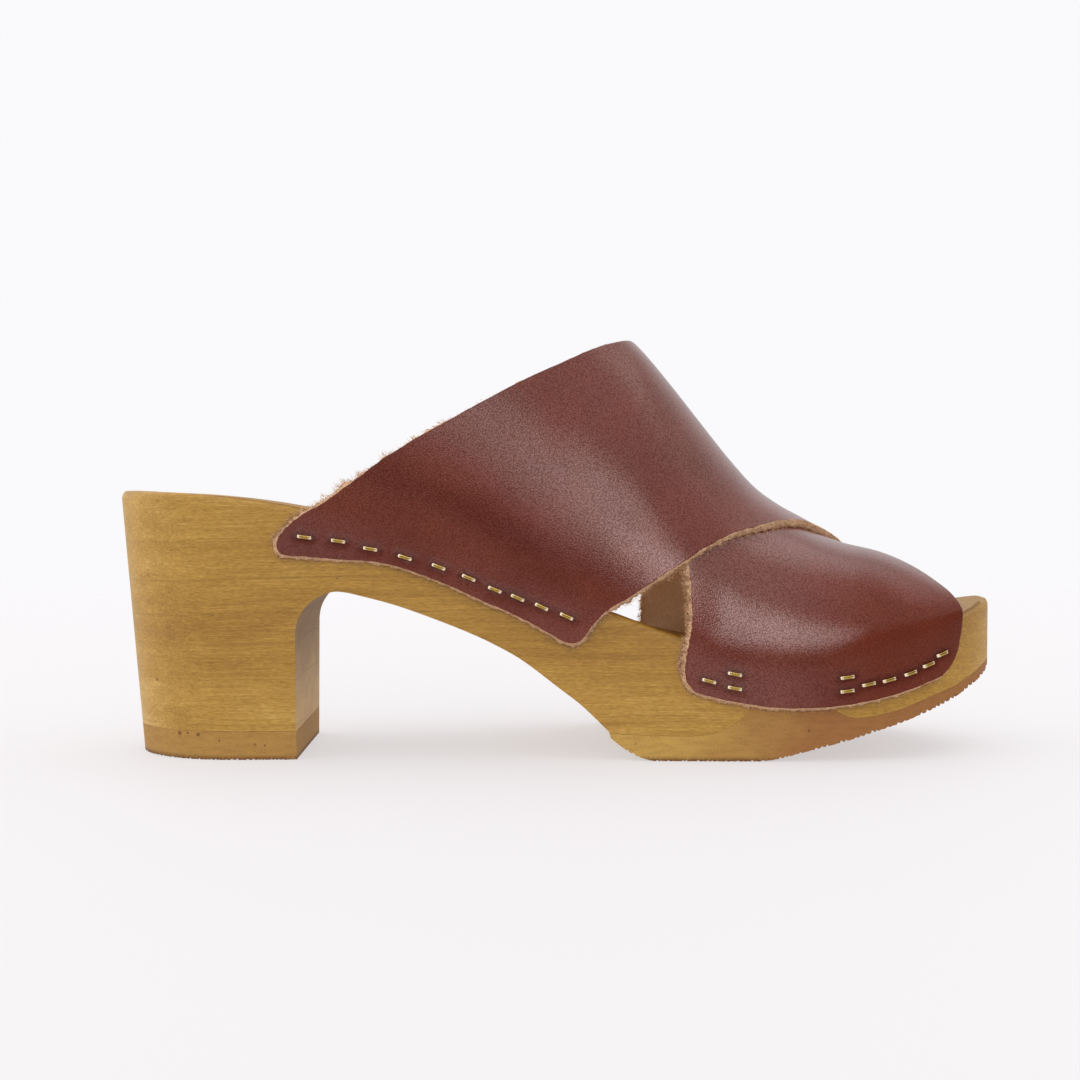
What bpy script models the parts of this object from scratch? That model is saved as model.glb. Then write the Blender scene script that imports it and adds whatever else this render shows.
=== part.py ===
"""High-heeled clog mule: carved wooden sole, rubber treads and a crossed-strap leather upper.

It is a left shoe. +X points to the toe, +Y to the little-toe side and +Z up.
The tables are in millimetres from the back of the heel; vertices are scaled to metres.
"""
import math
from collections import namedtuple

import bmesh
import bpy
import numpy as np
from mathutils import Matrix, Vector

MM = 0.001

# Driving dimensions of the sole.
LENGTH = 259.0
HEEL_HEIGHT = 76.5
HEEL_ROUND = 34.0       # lengthwise depth of the rounded back of the heel
TOE_ROUND = 53.0        # lengthwise depth of the rounded toe
TOE_TIP_Y = 9.0
BREAST_X = 54.5         # the heel's front face
HEEL_LEAN = 0.117       # how far the heel draws in lengthwise at the floor
HEEL_TAPER = 0.14       # how far it draws in sideways at the floor
DRAFT_END_X = 95.0      # the heel's side taper has faded out by here
RIM_ROUND = 2.4
DISH_RUN = 18.0         # the footbed's hollow fades out over this length at heel and toe
LIFT_THICK = 8.2
SEAM = 0.3              # clearance between pieces that are glued or nailed together

# Driving dimensions of the upper.
LEATHER = 2.0
LEATHER_SEAT = 0.4      # clearance between the leather and the wood it is stapled to
LAP_BITE = 0.35         # how deep the upper strap is joined into the lower one
LAP_RAMP = 16.0         # length over which the upper strap climbs onto the lower one
RIM_T = 0.8             # girth position of the sole's rim
RIM_RISE = 0.8          # the leather stays upright this far above the rim
CORNER_T = 0.06         # girth taken by the rounded strap corners
CORNER_SHARE = 0.1      # of half a strap's width
STRAP_ROWS = 46
STRAP_COLUMNS = 16

# Brass staples.
STAPLE_LONG = 4.0
STAPLE_WIRE = 0.9
STAPLE_SEAT = 0.3

# Plan and rim of the sole: inner and outer edge, rim height on each side, hollow of the footbed.
SoleRow = namedtuple("SoleRow", "x inner outer rim_inner rim_outer dish")
SOLE = [
    SoleRow(0, -31.0, 31.0, 76.6, 76.6, 2.0),
    SoleRow(24, -31.2, 31.6, 76.6, 75.2, 3.0),
    SoleRow(47, -30.8, 33.2, 74.2, 72.2, 3.0),
    SoleRow(60, -30.0, 34.6, 71.8, 69.6, 2.8),
    SoleRow(75, -29.0, 36.6, 68.0, 65.4, 2.6),
    SoleRow(95, -27.8, 40.4, 61.2, 57.8, 2.4),
    SoleRow(115, -27.3, 45.4, 53.8, 49.6, 2.2),
    SoleRow(143, -28.2, 53.4, 43.3, 37.4, 2.0),
    SoleRow(166, -29.2, 58.0, 35.2, 30.2, 2.0),
    SoleRow(180, -29.6, 59.4, 31.8, 28.2, 2.0),
    SoleRow(195, -29.7, 59.2, 30.2, 28.2, 2.0),
    SoleRow(210, -29.6, 57.2, 31.2, 30.4, 1.8),
    SoleRow(225, -29.4, 53.8, 34.2, 34.0, 1.4),
    SoleRow(240, -29.0, 49.8, 38.6, 38.8, 1.0),
    SoleRow(259, -28.6, 46.0, 45.0, 45.0, 0.6),
]

# Underside of the wood in front of the heel: arch, flat seat of the tread, flex hollow, toe.
UnderRow = namedtuple("UnderRow", "x z")
UNDER = [
    UnderRow(54.5, 36.0),
    UnderRow(55.4, 40.4),
    UnderRow(58.0, 44.3),
    UnderRow(61.9, 47.0),
    UnderRow(66.6, 48.2),
    UnderRow(75.0, 46.5),
    UnderRow(84.0, 44.0),
    UnderRow(94.0, 40.4),
    UnderRow(103.0, 36.8),
    UnderRow(110.0, 33.6),
    UnderRow(118.6, 28.8),
    UnderRow(129.8, 20.4),
    UnderRow(136.0, 15.6),
    UnderRow(144.1, 7.8),
    UnderRow(156.0, 7.3),
    UnderRow(169.0, 7.3),
    UnderRow(174.0, 8.3),
    UnderRow(178.9, 10.5),
    UnderRow(182.6, 13.7),
    UnderRow(190.8, 23.0),
    UnderRow(199.8, 23.0),
    UnderRow(206.9, 15.4),
    UnderRow(209.9, 13.3),
    UnderRow(214.2, 12.3),
    UnderRow(218.5, 12.7),
    UnderRow(226.6, 14.4),
    UnderRow(236.0, 17.6),
    UnderRow(243.2, 19.8),
    UnderRow(248.0, 21.8),
    UnderRow(252.0, 23.8),
    UnderRow(256.4, 26.0),
    UnderRow(259.0, 27.4),
]

# Floor side of the forefoot tread: back bevel, flat spot, toe spring.
FloorRow = namedtuple("FloorRow", "x z")
FLOOR = [
    FloorRow(144.1, 6.5),
    FloorRow(148.0, 3.4),
    FloorRow(152.0, 1.2),
    FloorRow(156.0, 0.0),
    FloorRow(186.0, 0.0),
    FloorRow(191.0, 0.6),
    FloorRow(197.0, 2.1),
    FloorRow(205.0, 4.2),
    FloorRow(213.6, 6.5),
    FloorRow(219.4, 8.3),
    FloorRow(226.6, 10.4),
    FloorRow(234.0, 12.9),
    FloorRow(240.0, 15.1),
    FloorRow(245.2, 17.3),
    FloorRow(250.8, 20.1),
    FloorRow(255.6, 22.6),
    FloorRow(259.0, 25.2),
]

# Inside of the upper: crest height and side, and how round its shoulders are.
LastRow = namedtuple("LastRow", "x crest crest_y round_top round_side")
LAST = [
    LastRow(40, 254.0, 2.0, 2.0, 1.55),
    LastRow(100, 178.0, 4.0, 2.0, 1.55),
    LastRow(130, 140.2, 5.5, 2.0, 1.55),
    LastRow(145, 122.4, 6.0, 2.0, 1.55),
    LastRow(153, 114.0, 6.2, 2.0, 1.55),
    LastRow(160, 105.6, 6.4, 2.0, 1.55),
    LastRow(168, 95.5, 6.8, 2.0, 1.6),
    LastRow(178, 83.0, 7.4, 2.0, 1.65),
    LastRow(185.5, 74.8, 8.0, 2.05, 1.7),
    LastRow(193.7, 68.8, 8.6, 2.1, 1.75),
    LastRow(200.3, 65.2, 9.2, 2.1, 1.8),
    LastRow(206, 62.2, 9.6, 2.15, 1.85),
    LastRow(213, 59.4, 10.0, 2.2, 1.9),
    LastRow(227, 55.8, 10.0, 2.3, 2.0),
    LastRow(235, 52.6, 9.6, 2.3, 2.0),
    LastRow(241, 49.6, 9.2, 2.3, 2.0),
    LastRow(249, 46.4, 9.0, 2.3, 2.0),
]

# Depth of leather below the rim.
MarginRow = namedtuple("MarginRow", "x depth")
MARGIN = [
    MarginRow(46, 16.2),
    MarginRow(56, 15.2),
    MarginRow(67, 13.5),
    MarginRow(79, 11.0),
    MarginRow(96, 10.6),
    MarginRow(107, 11.6),
    MarginRow(118, 12.4),
    MarginRow(125, 13.6),
    MarginRow(134, 15.2),
    MarginRow(160, 15.8),
    MarginRow(195, 15.8),
    MarginRow(230, 15.8),
    MarginRow(250, 14.6),
]

# Strap edges: lengthwise place of each edge at a girth position, from the inner bottom edge (-1)
# over the crest (0) to the outer bottom edge (+1). The "over" strap lies on the "under" strap.
EdgeRow = namedtuple("EdgeRow", "t over_rear over_front under_rear under_front")
EDGES = [
    EdgeRow(-1.0, 47.0, 135.0, 164.0, 241.2),
    EdgeRow(-0.9, 51.2, 138.9, 163.8, 244.0),
    EdgeRow(-0.8, 60.2, 144.8, 165.2, 245.2),
    EdgeRow(-0.7, 77.8, 154.2, 165.9, 245.0),
    EdgeRow(-0.6, 97.4, 164.6, 164.8, 244.2),
    EdgeRow(-0.4, 126.1, 182.0, 161.0, 241.6),
    EdgeRow(-0.2, 142.4, 196.0, 156.8, 235.8),
    EdgeRow(0.0, 150.6, 208.5, 151.6, 225.6),
    EdgeRow(0.2, 155.6, 219.5, 142.6, 208.0),
    EdgeRow(0.4, 157.2, 229.5, 126.1, 187.0),
    EdgeRow(0.6, 157.8, 234.6, 97.4, 162.5),
    EdgeRow(0.7, 157.8, 235.8, 77.8, 150.0),
    EdgeRow(0.8, 157.2, 236.2, 60.2, 139.6),
    EdgeRow(0.9, 155.6, 235.4, 51.2, 133.8),
    EdgeRow(1.0, 154.6, 232.8, 47.0, 130.0),
]

# Staples: place along the sole and height above the strap's lower edge.
StapleRow = namedtuple("StapleRow", "x rise")
REAR_STAPLES = [
    StapleRow(57.6, 6.6),
    StapleRow(67.1, 6.1),
    StapleRow(76.1, 4.3),
    StapleRow(85.8, 4.0),
    StapleRow(95.3, 4.8),
    StapleRow(103.8, 5.5),
    StapleRow(111.2, 5.5),
    StapleRow(117.7, 6.1),
    StapleRow(124.5, 7.3),
    StapleRow(131.6, 8.6),
]
FRONT_STAPLES = [
    StapleRow(171.8, 5.4),
    StapleRow(179.0, 9.0),
    StapleRow(179.0, 5.0),
    StapleRow(210.6, 8.9),
    StapleRow(210.6, 5.0),
    StapleRow(216.6, 5.9),
    StapleRow(222.4, 5.7),
    StapleRow(228.6, 5.7),
    StapleRow(234.0, 6.1),
    StapleRow(238.2, 7.4),
]
OUTER_SHIFT = -8.0      # the outer front staples sit this much nearer the heel

# Shared geometry.


def spline(rows, field):
    """Smooth curve of one table column, with slopes taken from the neighbouring rows."""
    xs = np.array([row[0] for row in rows], float)
    ys = np.array([getattr(row, field) for row in rows], float)
    step = np.diff(xs)
    rise = np.diff(ys) / step
    slope = np.empty_like(ys)
    slope[0] = rise[0]
    slope[-1] = rise[-1]
    slope[1:-1] = (rise[:-1] * step[1:] + rise[1:] * step[:-1]) / (step[:-1] + step[1:])

    def at(x):
        x = np.clip(x, xs[0], xs[-1])
        k = np.clip(np.searchsorted(xs, x) - 1, 0, len(step) - 1)
        u = (x - xs[k]) / step[k]
        bow = (1 - u) * (slope[k] - rise[k]) + u * (rise[k] - slope[k + 1])
        return ys[k] + (x - xs[k]) * rise[k] + step[k] * u * (1 - u) * bow

    return at


SOLE_AT = {field: spline(SOLE, field) for field in SoleRow._fields[1:]}
LAST_AT = {field: spline(LAST, field) for field in LastRow._fields[1:]}
EDGE_AT = {field: spline(EDGES, field) for field in EdgeRow._fields[1:]}
MARGIN_AT = spline(MARGIN, "depth")


def smoothstep(low, high, x):
    """Soft step from 0 to 1."""
    u = np.clip((np.asarray(x, float) - low) / (high - low), 0.0, 1.0)
    return u * u * (3 - 2 * u)


def line(rows, x):
    """Straight-line reading of a two-column table."""
    return np.interp(x, [row.x for row in rows], [row.z for row in rows])


def end_factor(x):
    """Share of the full width left at x: below 1 only in the rounded heel and toe."""
    heel = np.clip((HEEL_ROUND - x) / HEEL_ROUND, 0.0, 1.0)
    toe = np.clip((x - LENGTH + TOE_ROUND) / TOE_ROUND, 0.0, 1.0)
    return np.sqrt(1 - np.maximum(heel, toe) ** 2)


def sole_edges(x):
    """Inner and outer edge of the sole's plan at x."""
    x = np.asarray(x, float)
    middle = np.where(x > LENGTH / 2, TOE_TIP_Y, 0.0)
    share = end_factor(x)
    inner = middle + (SOLE_AT["inner"](x) - middle) * share
    outer = middle + (SOLE_AT["outer"](x) - middle) * share
    return inner, outer


def draft_width(x, z):
    """Sideways scale of the sole at height z, where the heel narrows to the floor."""
    low = np.clip(1 - np.asarray(z, float) / HEEL_HEIGHT, 0.0, 1.0)
    return 1 - HEEL_TAPER * low * (1 - smoothstep(BREAST_X, DRAFT_END_X, x))


def draft(x, y, z):
    """A point of the straight-sided sole moved in by the heel's lean and taper."""
    low = max(0.0, 1 - z / HEEL_HEIGHT)
    lean = max(0.0, BREAST_X - x) * HEEL_LEAN * low
    return Vector((x + lean, y * float(draft_width(x, z)), z)) * MM


def end_drop(x):
    """How far the rim is rounded off at the very back and front."""
    drop = 0.0
    for reach in (x, LENGTH - x):
        gone = max(0.0, 1 - reach / RIM_ROUND)
        drop = max(drop, RIM_ROUND * (1 - math.sqrt(max(0.0, 1 - gone * gone))))
    return drop


def footbed(x, y):
    """Height of the footbed."""
    inner, outer = sole_edges(x)
    across = (y - inner) / max(outer - inner, 1e-6)
    rim = SOLE_AT["rim_inner"](x) * (1 - across) + SOLE_AT["rim_outer"](x) * across
    bowl = np.clip(4 * across * (1 - across), 0.0, 1.0)
    bowl = bowl * smoothstep(0.0, DISH_RUN, min(x, LENGTH - x))
    return float(rim - SOLE_AT["dish"](x) * bowl) - end_drop(x)


def last_point(x, t):
    """Point on the inside of the upper at x and girth position t."""
    x = np.asarray(x, float)
    t = np.asarray(t, float)
    near = np.minimum(x, LENGTH - 1.0)
    inner, outer = sole_edges(near)
    inner_on, outer_on = sole_edges(near + 0.5)
    left = t < 0
    edge = np.where(left, inner, outer)
    slope = np.where(left, inner_on - inner, outer_on - outer) / 0.5
    seat = LEATHER_SEAT * np.sqrt(1 + slope * slope)
    edge = edge + np.where(left, -seat, seat)
    rim = np.where(left, SOLE_AT["rim_inner"](x), SOLE_AT["rim_outer"](x))
    rim_high = rim + RIM_RISE
    girth = np.abs(t)
    low_z = rim_high - (MARGIN_AT(x) + RIM_RISE) * (girth - RIM_T) / (1 - RIM_T)
    angle = np.pi / 2 * (1 - np.clip(girth / RIM_T, 0.0, 1.0))
    crest_y = LAST_AT["crest_y"](x)
    high = np.maximum(LAST_AT["crest"](x) - rim_high, 1.0)
    dome_z = rim_high + high * np.sin(angle) ** (2 / LAST_AT["round_side"](x))
    upright = edge * draft_width(x, np.minimum(low_z, rim))
    dome_y = crest_y + (upright - crest_y) * np.cos(angle) ** (2 / LAST_AT["round_top"](x))
    on_side = girth >= RIM_T
    return np.stack([x, np.where(on_side, upright, dome_y), np.where(on_side, low_z, dome_z)], -1)


def last_normal(x, t):
    """Outward direction of the upper."""
    along = last_point(x + 0.4, t) - last_point(x - 0.4, t)
    around = last_point(x, t + 0.004) - last_point(x, t - 0.004)
    normal = np.cross(along, around)
    normal /= np.maximum(np.linalg.norm(normal, axis=-1, keepdims=True), 1e-9)
    return normal


def strap_grid(side, rows, columns):
    """Lengthwise and girth position of each grid point of one strap."""
    s = np.linspace(-1.0, 1.0, rows)[:, None]
    u = np.linspace(0.0, 1.0, columns)[None, :]
    v = 0.45 * u + 0.55 * (0.5 - 0.5 * np.cos(np.pi * u))
    past = np.clip((np.abs(2 * v - 1) - 1) / CORNER_SHARE + 1, 0.0, 1.0)
    corner = 1 - np.sqrt(1 - past ** 2)
    t = s * (1 - CORNER_T * corner * s ** 6)
    rear = EDGE_AT[side + "_rear"](t)
    front = EDGE_AT[side + "_front"](t)
    return rear + (front - rear) * v, t


def lap(x, t):
    """Height of the over strap's inside above the last: it climbs onto the under strap."""
    reach = np.minimum(x - EDGE_AT["under_rear"](t), EDGE_AT["under_front"](t) - x)
    return (LEATHER - LAP_BITE) * smoothstep(-LAP_RAMP, 0.0, reach)


# Building blocks.


def collection(name):
    """New collection in the scene."""
    group = bpy.data.collections.new(name)
    bpy.context.scene.collection.children.link(group)
    return group


def material(name, colour, metallic, roughness):
    """Plain principled material."""
    mat = bpy.data.materials.new(name)
    mat.use_nodes = True
    shader = mat.node_tree.nodes["Principled BSDF"]
    shader.inputs["Base Color"].default_value = (*colour, 1.0)
    shader.inputs["Metallic"].default_value = metallic
    shader.inputs["Roughness"].default_value = roughness
    return mat


def add_object(name, bm, mat, group):
    """Object from a bmesh, smooth shaded with its hard edges kept."""
    bmesh.ops.recalc_face_normals(bm, faces=bm.faces)
    if bm.calc_volume(signed=True) < 0:
        bmesh.ops.reverse_faces(bm, faces=bm.faces)
    mesh = bpy.data.meshes.new(name)
    bm.to_mesh(mesh)
    bm.free()
    mesh.materials.append(mat)
    mesh.shade_smooth()
    mesh.set_sharp_from_angle(angle=math.radians(35))
    obj = bpy.data.objects.new(name, mesh)
    group.objects.link(obj)
    return obj


def loft(name, rings, mat, group):
    """Closed solid through rings of equal length; an end ring may shrink to an upright line."""
    bm = bmesh.new()
    verts = [[bm.verts.new(point) for point in ring] for ring in rings]
    count = len(rings[0])
    for one, two in zip(verts, verts[1:]):
        for i in range(count):
            j = (i + 1) % count
            bm.faces.new((one[i], one[j], two[j], two[i]))
    for ring, corners in ((rings[0], verts[0]), (rings[-1], verts[-1])):
        if max(point.y for point in ring) - min(point.y for point in ring) > MM:
            bm.faces.new(corners)
    bmesh.ops.remove_doubles(bm, verts=bm.verts, dist=0.02 * MM)
    bmesh.ops.dissolve_degenerate(bm, dist=0.01 * MM, edges=bm.edges)
    return add_object(name, bm, mat, group)


def wood_ring(x, low):
    """Section of the wood at x: up the inner side, over the footbed, down the outer side."""
    inner, outer = (float(edge) for edge in sole_edges(x))
    share = min(1.0, (outer - inner) / 24)
    rim = ((0.0, RIM_ROUND), (0.3 * RIM_ROUND, 0.3 * RIM_ROUND), (RIM_ROUND, 0.0))
    spans = (0.08, 0.2, 0.35, 0.5, 0.65, 0.8, 0.92)
    up = []
    for inset, drop in rim:
        up.append((inner + inset * share, drop))
    for span in spans:
        up.append((inner + (outer - inner) * span, 0.0))
    for inset, drop in reversed(rim):
        up.append((outer - inset * share, drop))
    ring = [draft(x, inner, low)]
    ring += [draft(x, y, footbed(x, y) - drop) for y, drop in up]
    ring += [draft(x, outer, low)]
    return ring


def tread_ring(x, low, high):
    """Section of a rubber tread at x."""
    inner, outer = (float(edge) for edge in sole_edges(x))
    return [draft(x, inner, low), draft(x, inner, high), draft(x, outer, high), draft(x, outer, low)]


def heel_stations():
    """Lengthwise places through the heel, closer together where its back curves."""
    back = [HEEL_ROUND * (1 - math.cos(math.radians(a))) for a in (0, 10, 20, 31, 43, 56, 72, 90)]
    return back + [44.0, BREAST_X]


def fore_stations(rows):
    """Table rows with extra places through the rounded toe."""
    start = LENGTH - TOE_ROUND
    toe = [start + TOE_ROUND * math.sin(math.radians(a)) for a in (62, 69, 75, 80, 84, 87, 90)]
    xs = [row.x for row in rows if row.x < toe[0] - 1.5]
    return xs + toe


def build_wood(mat, group):
    """The carved sole with its heel."""
    seat = LIFT_THICK + SEAM
    rings = [wood_ring(x, seat) for x in heel_stations()]
    rings += [wood_ring(x, float(line(UNDER, x))) for x in fore_stations(UNDER)]
    return loft("wood_sole", rings, mat, group)


def build_lift(mat, group):
    """The rubber top lift under the heel."""
    rings = [tread_ring(x, 0.0, LIFT_THICK) for x in heel_stations()]
    return loft("heel_top_lift", rings, mat, group)


def build_outsole(mat, group):
    """The rubber forefoot tread, which also fills the flex hollow."""
    start = FLOOR[0].x
    rows = sorted({row.x for row in UNDER + FLOOR if row.x >= start})
    merged = [FloorRow(x, 0.0) for i, x in enumerate(rows) if i == 0 or x - rows[i - 1] > 0.7]
    rings = []
    for x in fore_stations(merged):
        rings.append(tread_ring(x, float(line(FLOOR, x)), float(line(UNDER, x)) - SEAM))
    return loft("forefoot_outsole", rings, mat, group)


def build_strap(side, mat, group):
    """One leather strap: a surface on the last, made thick by Solidify."""
    x, t = strap_grid(side, STRAP_ROWS, STRAP_COLUMNS)
    height = lap(x, t) if side == "over" else np.zeros_like(x)
    points = (last_point(x, t) + last_normal(x, t) * height[..., None]) * MM
    bm = bmesh.new()
    verts = [[bm.verts.new(point) for point in row] for row in points]
    for one, two in zip(verts, verts[1:]):
        for i in range(len(one) - 1):
            bm.faces.new((one[i], one[i + 1], two[i + 1], two[i]))
    mesh = bpy.data.meshes.new(side + "_strap")
    bm.to_mesh(mesh)
    bm.free()
    mesh.materials.append(mat)
    obj = bpy.data.objects.new(side + "_strap", mesh)
    group.objects.link(obj)
    wall = obj.modifiers.new("leather", "SOLIDIFY")
    wall.thickness = LEATHER * MM
    wall.offset = 1.0
    wall.use_even_offset = True
    return obj


def build_upper(mat, group, cutters):
    """Both straps joined where they cross, as one hollow wall."""
    upper = build_strap("over", mat, group)
    upper.name = "upper"
    under = build_strap("under", mat, cutters)
    under.hide_render = True
    under.display_type = "WIRE"
    join = upper.modifiers.new("crossing", "BOOLEAN")
    join.operation = "UNION"
    join.solver = "EXACT"
    join.object = under
    return upper


def staple_frame(x, side, rise):
    """Placing of a staple on the outside of the leather."""
    t = side * (1 - (1 - RIM_T) * rise / (float(MARGIN_AT(x)) + RIM_RISE))
    spot = last_point(x, t)
    normal = Vector(last_normal(x, t)).normalized()
    along = Vector(last_point(x + 1.0, t) - last_point(x - 1.0, t))
    along = (along - normal * along.dot(normal)).normalized()
    lift = LEATHER + STAPLE_SEAT + STAPLE_WIRE / 2
    frame = Matrix((along, normal.cross(along), normal)).transposed().to_4x4()
    frame.translation = (Vector(spot) + normal * lift) * MM
    return frame


def build_staple(name, frame, mat, group):
    """The crown of a brass wire staple."""
    bm = bmesh.new()
    bmesh.ops.create_cube(bm, size=1.0)
    bmesh.ops.scale(bm, vec=Vector((STAPLE_LONG, STAPLE_WIRE, STAPLE_WIRE)) * MM, verts=bm.verts)
    obj = add_object(name, bm, mat, group)
    edge = obj.modifiers.new("round", "BEVEL")
    edge.width = 0.22 * STAPLE_WIRE * MM
    edge.segments = 1
    obj.matrix_world = frame
    return obj


def build_staples(mat, group):
    """Rows of staples along the four strap ends."""
    ends = (
        ("inner_rear", REAR_STAPLES, -1, 0.0),
        ("inner_front", FRONT_STAPLES, -1, 0.0),
        ("outer_rear", REAR_STAPLES, 1, 0.0),
        ("outer_front", FRONT_STAPLES, 1, OUTER_SHIFT),
    )
    staples = []
    for end, rows, side, shift in ends:
        for number, row in enumerate(rows, 1):
            frame = staple_frame(row.x + shift, side, row.rise)
            staples.append(build_staple(f"staple_{end}_{number:02d}", frame, mat, group))
    return staples


def centre(parts):
    """Bring the middle of the footprint to the origin."""
    bpy.context.view_layer.update()
    graph = bpy.context.evaluated_depsgraph_get()
    corners = []
    for part in parts:
        solid = part.evaluated_get(graph)
        corners += [solid.matrix_world @ vert.co for vert in solid.data.vertices]
    low = Vector(min(corner[i] for corner in corners) for i in range(3))
    high = Vector(max(corner[i] for corner in corners) for i in range(3))
    shift = Vector((-(low.x + high.x) / 2, -(low.y + high.y) / 2, -low.z))
    for obj in list(bpy.data.objects):
        obj.matrix_world = Matrix.Translation(shift) @ obj.matrix_world


def main():
    """Build the clog."""
    for old in list(bpy.data.objects):
        bpy.data.objects.remove(old)
    parts_group = collection("clog_mule")
    cutters = collection("cutters")
    wood = material("stained_wood", (0.37, 0.20, 0.05), 0.0, 0.45)
    rubber = material("tan_rubber", (0.40, 0.22, 0.07), 0.0, 0.75)
    leather = material("oxblood_leather", (0.15, 0.035, 0.025), 0.0, 0.5)
    brass = material("brass", (0.72, 0.48, 0.18), 1.0, 0.3)
    parts = [
        build_wood(wood, parts_group),
        build_lift(rubber, parts_group),
        build_outsole(rubber, parts_group),
        build_upper(leather, parts_group, cutters),
    ]
    parts += build_staples(brass, parts_group)
    centre(parts)


main()
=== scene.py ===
"""Looks of a high-heeled clog mule: stained wood, rubber treads, crossed straps and staples.

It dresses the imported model, which is loaded as a fixed frame. Tables and lengths are in
millimetres from the back of the heel; vertices are brought to the frame's metres.
"""

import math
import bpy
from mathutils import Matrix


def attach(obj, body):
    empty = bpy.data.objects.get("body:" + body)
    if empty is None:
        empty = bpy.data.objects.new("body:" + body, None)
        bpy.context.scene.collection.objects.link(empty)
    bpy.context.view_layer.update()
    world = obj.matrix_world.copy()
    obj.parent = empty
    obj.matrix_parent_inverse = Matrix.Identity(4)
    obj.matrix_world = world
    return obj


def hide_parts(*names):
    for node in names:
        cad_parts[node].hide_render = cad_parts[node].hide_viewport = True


bl_info = {
    "name": "Crossed-strap clog mule",
    "version": (1, 0, 0),
    "blender": (4, 5, 0),
    "location": "View3D > Sidebar > Clog",
    "description": "Builds the wood, treads, straps, raw edges, staples and stage of the clog",
    "category": "Object",
}

from collections import namedtuple

import bmesh
import bpy
import numpy as np
from bpy.props import FloatProperty, FloatVectorProperty, IntProperty, PointerProperty
from mathutils import Matrix

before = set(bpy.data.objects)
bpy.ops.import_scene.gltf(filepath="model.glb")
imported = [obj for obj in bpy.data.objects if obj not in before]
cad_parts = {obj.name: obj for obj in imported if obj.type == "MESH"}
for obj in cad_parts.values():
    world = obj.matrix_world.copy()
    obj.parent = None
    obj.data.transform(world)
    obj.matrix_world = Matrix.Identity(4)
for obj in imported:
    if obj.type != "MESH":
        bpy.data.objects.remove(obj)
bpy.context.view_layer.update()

MM = 0.001
SHIFT = np.array((-129.5959, -14.6076, 0.0))    # from the tables' heel to the frame's origin

# Driving sizes of the sole.
LENGTH = 259.0
HEEL_HEIGHT = 76.5
HEEL_ROUND = 34.0
TOE_ROUND = 53.0
TOE_TIP_Y = 9.0
BREAST_X = 54.5
BREAST_Z = 36.0         # where the arch leaves the heel's upright front
HEEL_LEAN = 0.117
HEEL_TAPER = 0.14
DRAFT_END_X = 95.0
RIM_ROUND = 2.6
DISH_RUN = 18.0
LIFT_THICK = 8.2
BOND = 0.06             # the glue line left between wood and rubber
TREAD_X = 144.1         # where the forefoot tread starts
TIP_X = 250.0           # from here on the wood's sections follow the rounded toe

# Driving sizes of the upper.
LEATHER_SEAT = 0.4
LAP_RAMP = 34.0
LAP_GAP = 0.05          # left between the two straps where they cross
RIM_T = 0.8             # girth position of the sole's rim
RIM_RISE = 0.8
CORNER_T = 0.06         # girth taken by the rounded strap corners
CORNER_SHARE = 0.1      # of half a strap's width
STRAP_GRID = (330, 124)
WALL_STEPS = 4          # rings across the cut edge
DENT = 0.14             # depth of the leather's dent under a staple
MIDDLE_X = 100.0        # where the depth of the straps' lower margin is taken
WORN_X = 98.0           # middle of the worn bend above the rim

# Rise and fall, as four places: the front strap drawn in just above the rim, the darkening of the
# wood's rim, and the part of a strap's girth where its bend is softened, with the passes that
# takes.
PINCH = 0.65
PINCH_HIGH = (-3.0, 6.0, 6.0, 26.0)
PINCH_LONG = (164.0, 176.0, 204.0, 218.0)
DARK_RIM_X = (26.0, 36.0)
DARK_RIM_REACH = (0.7, 1.5, 2.6, 4.0)
EASE_GIRTH = (0.45, 0.7, 0.86, 0.96)
EASE_PASSES = {"over": 50, "under": 130}

# Plan and rim of the sole.
SoleRow = namedtuple("SoleRow", "x inner outer rim_inner rim_outer dish")
SOLE = [SoleRow(*row) for row in (
    (0, -31.0, 31.0, 76.6, 76.6, 2.0),
    (24, -31.2, 31.6, 76.6, 75.2, 3.0),
    (47, -30.8, 33.2, 74.2, 72.2, 3.0),
    (60, -30.0, 34.6, 71.8, 69.6, 2.8),
    (75, -29.0, 36.6, 68.0, 65.4, 2.6),
    (95, -27.8, 40.4, 61.2, 57.8, 2.4),
    (115, -27.3, 45.4, 53.8, 49.6, 2.2),
    (143, -28.2, 53.4, 43.3, 37.4, 2.0),
    (166, -29.2, 58.0, 35.2, 30.2, 2.0),
    (180, -29.6, 59.4, 31.8, 28.2, 2.0),
    (195, -29.7, 59.2, 30.2, 28.2, 2.0),
    (210, -29.6, 57.2, 31.2, 30.4, 1.8),
    (225, -29.4, 53.8, 34.2, 34.0, 1.4),
    (240, -29.0, 49.8, 38.6, 38.8, 1.0),
    (259, -28.6, 46.0, 45.0, 45.0, 0.6),
)]

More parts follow.
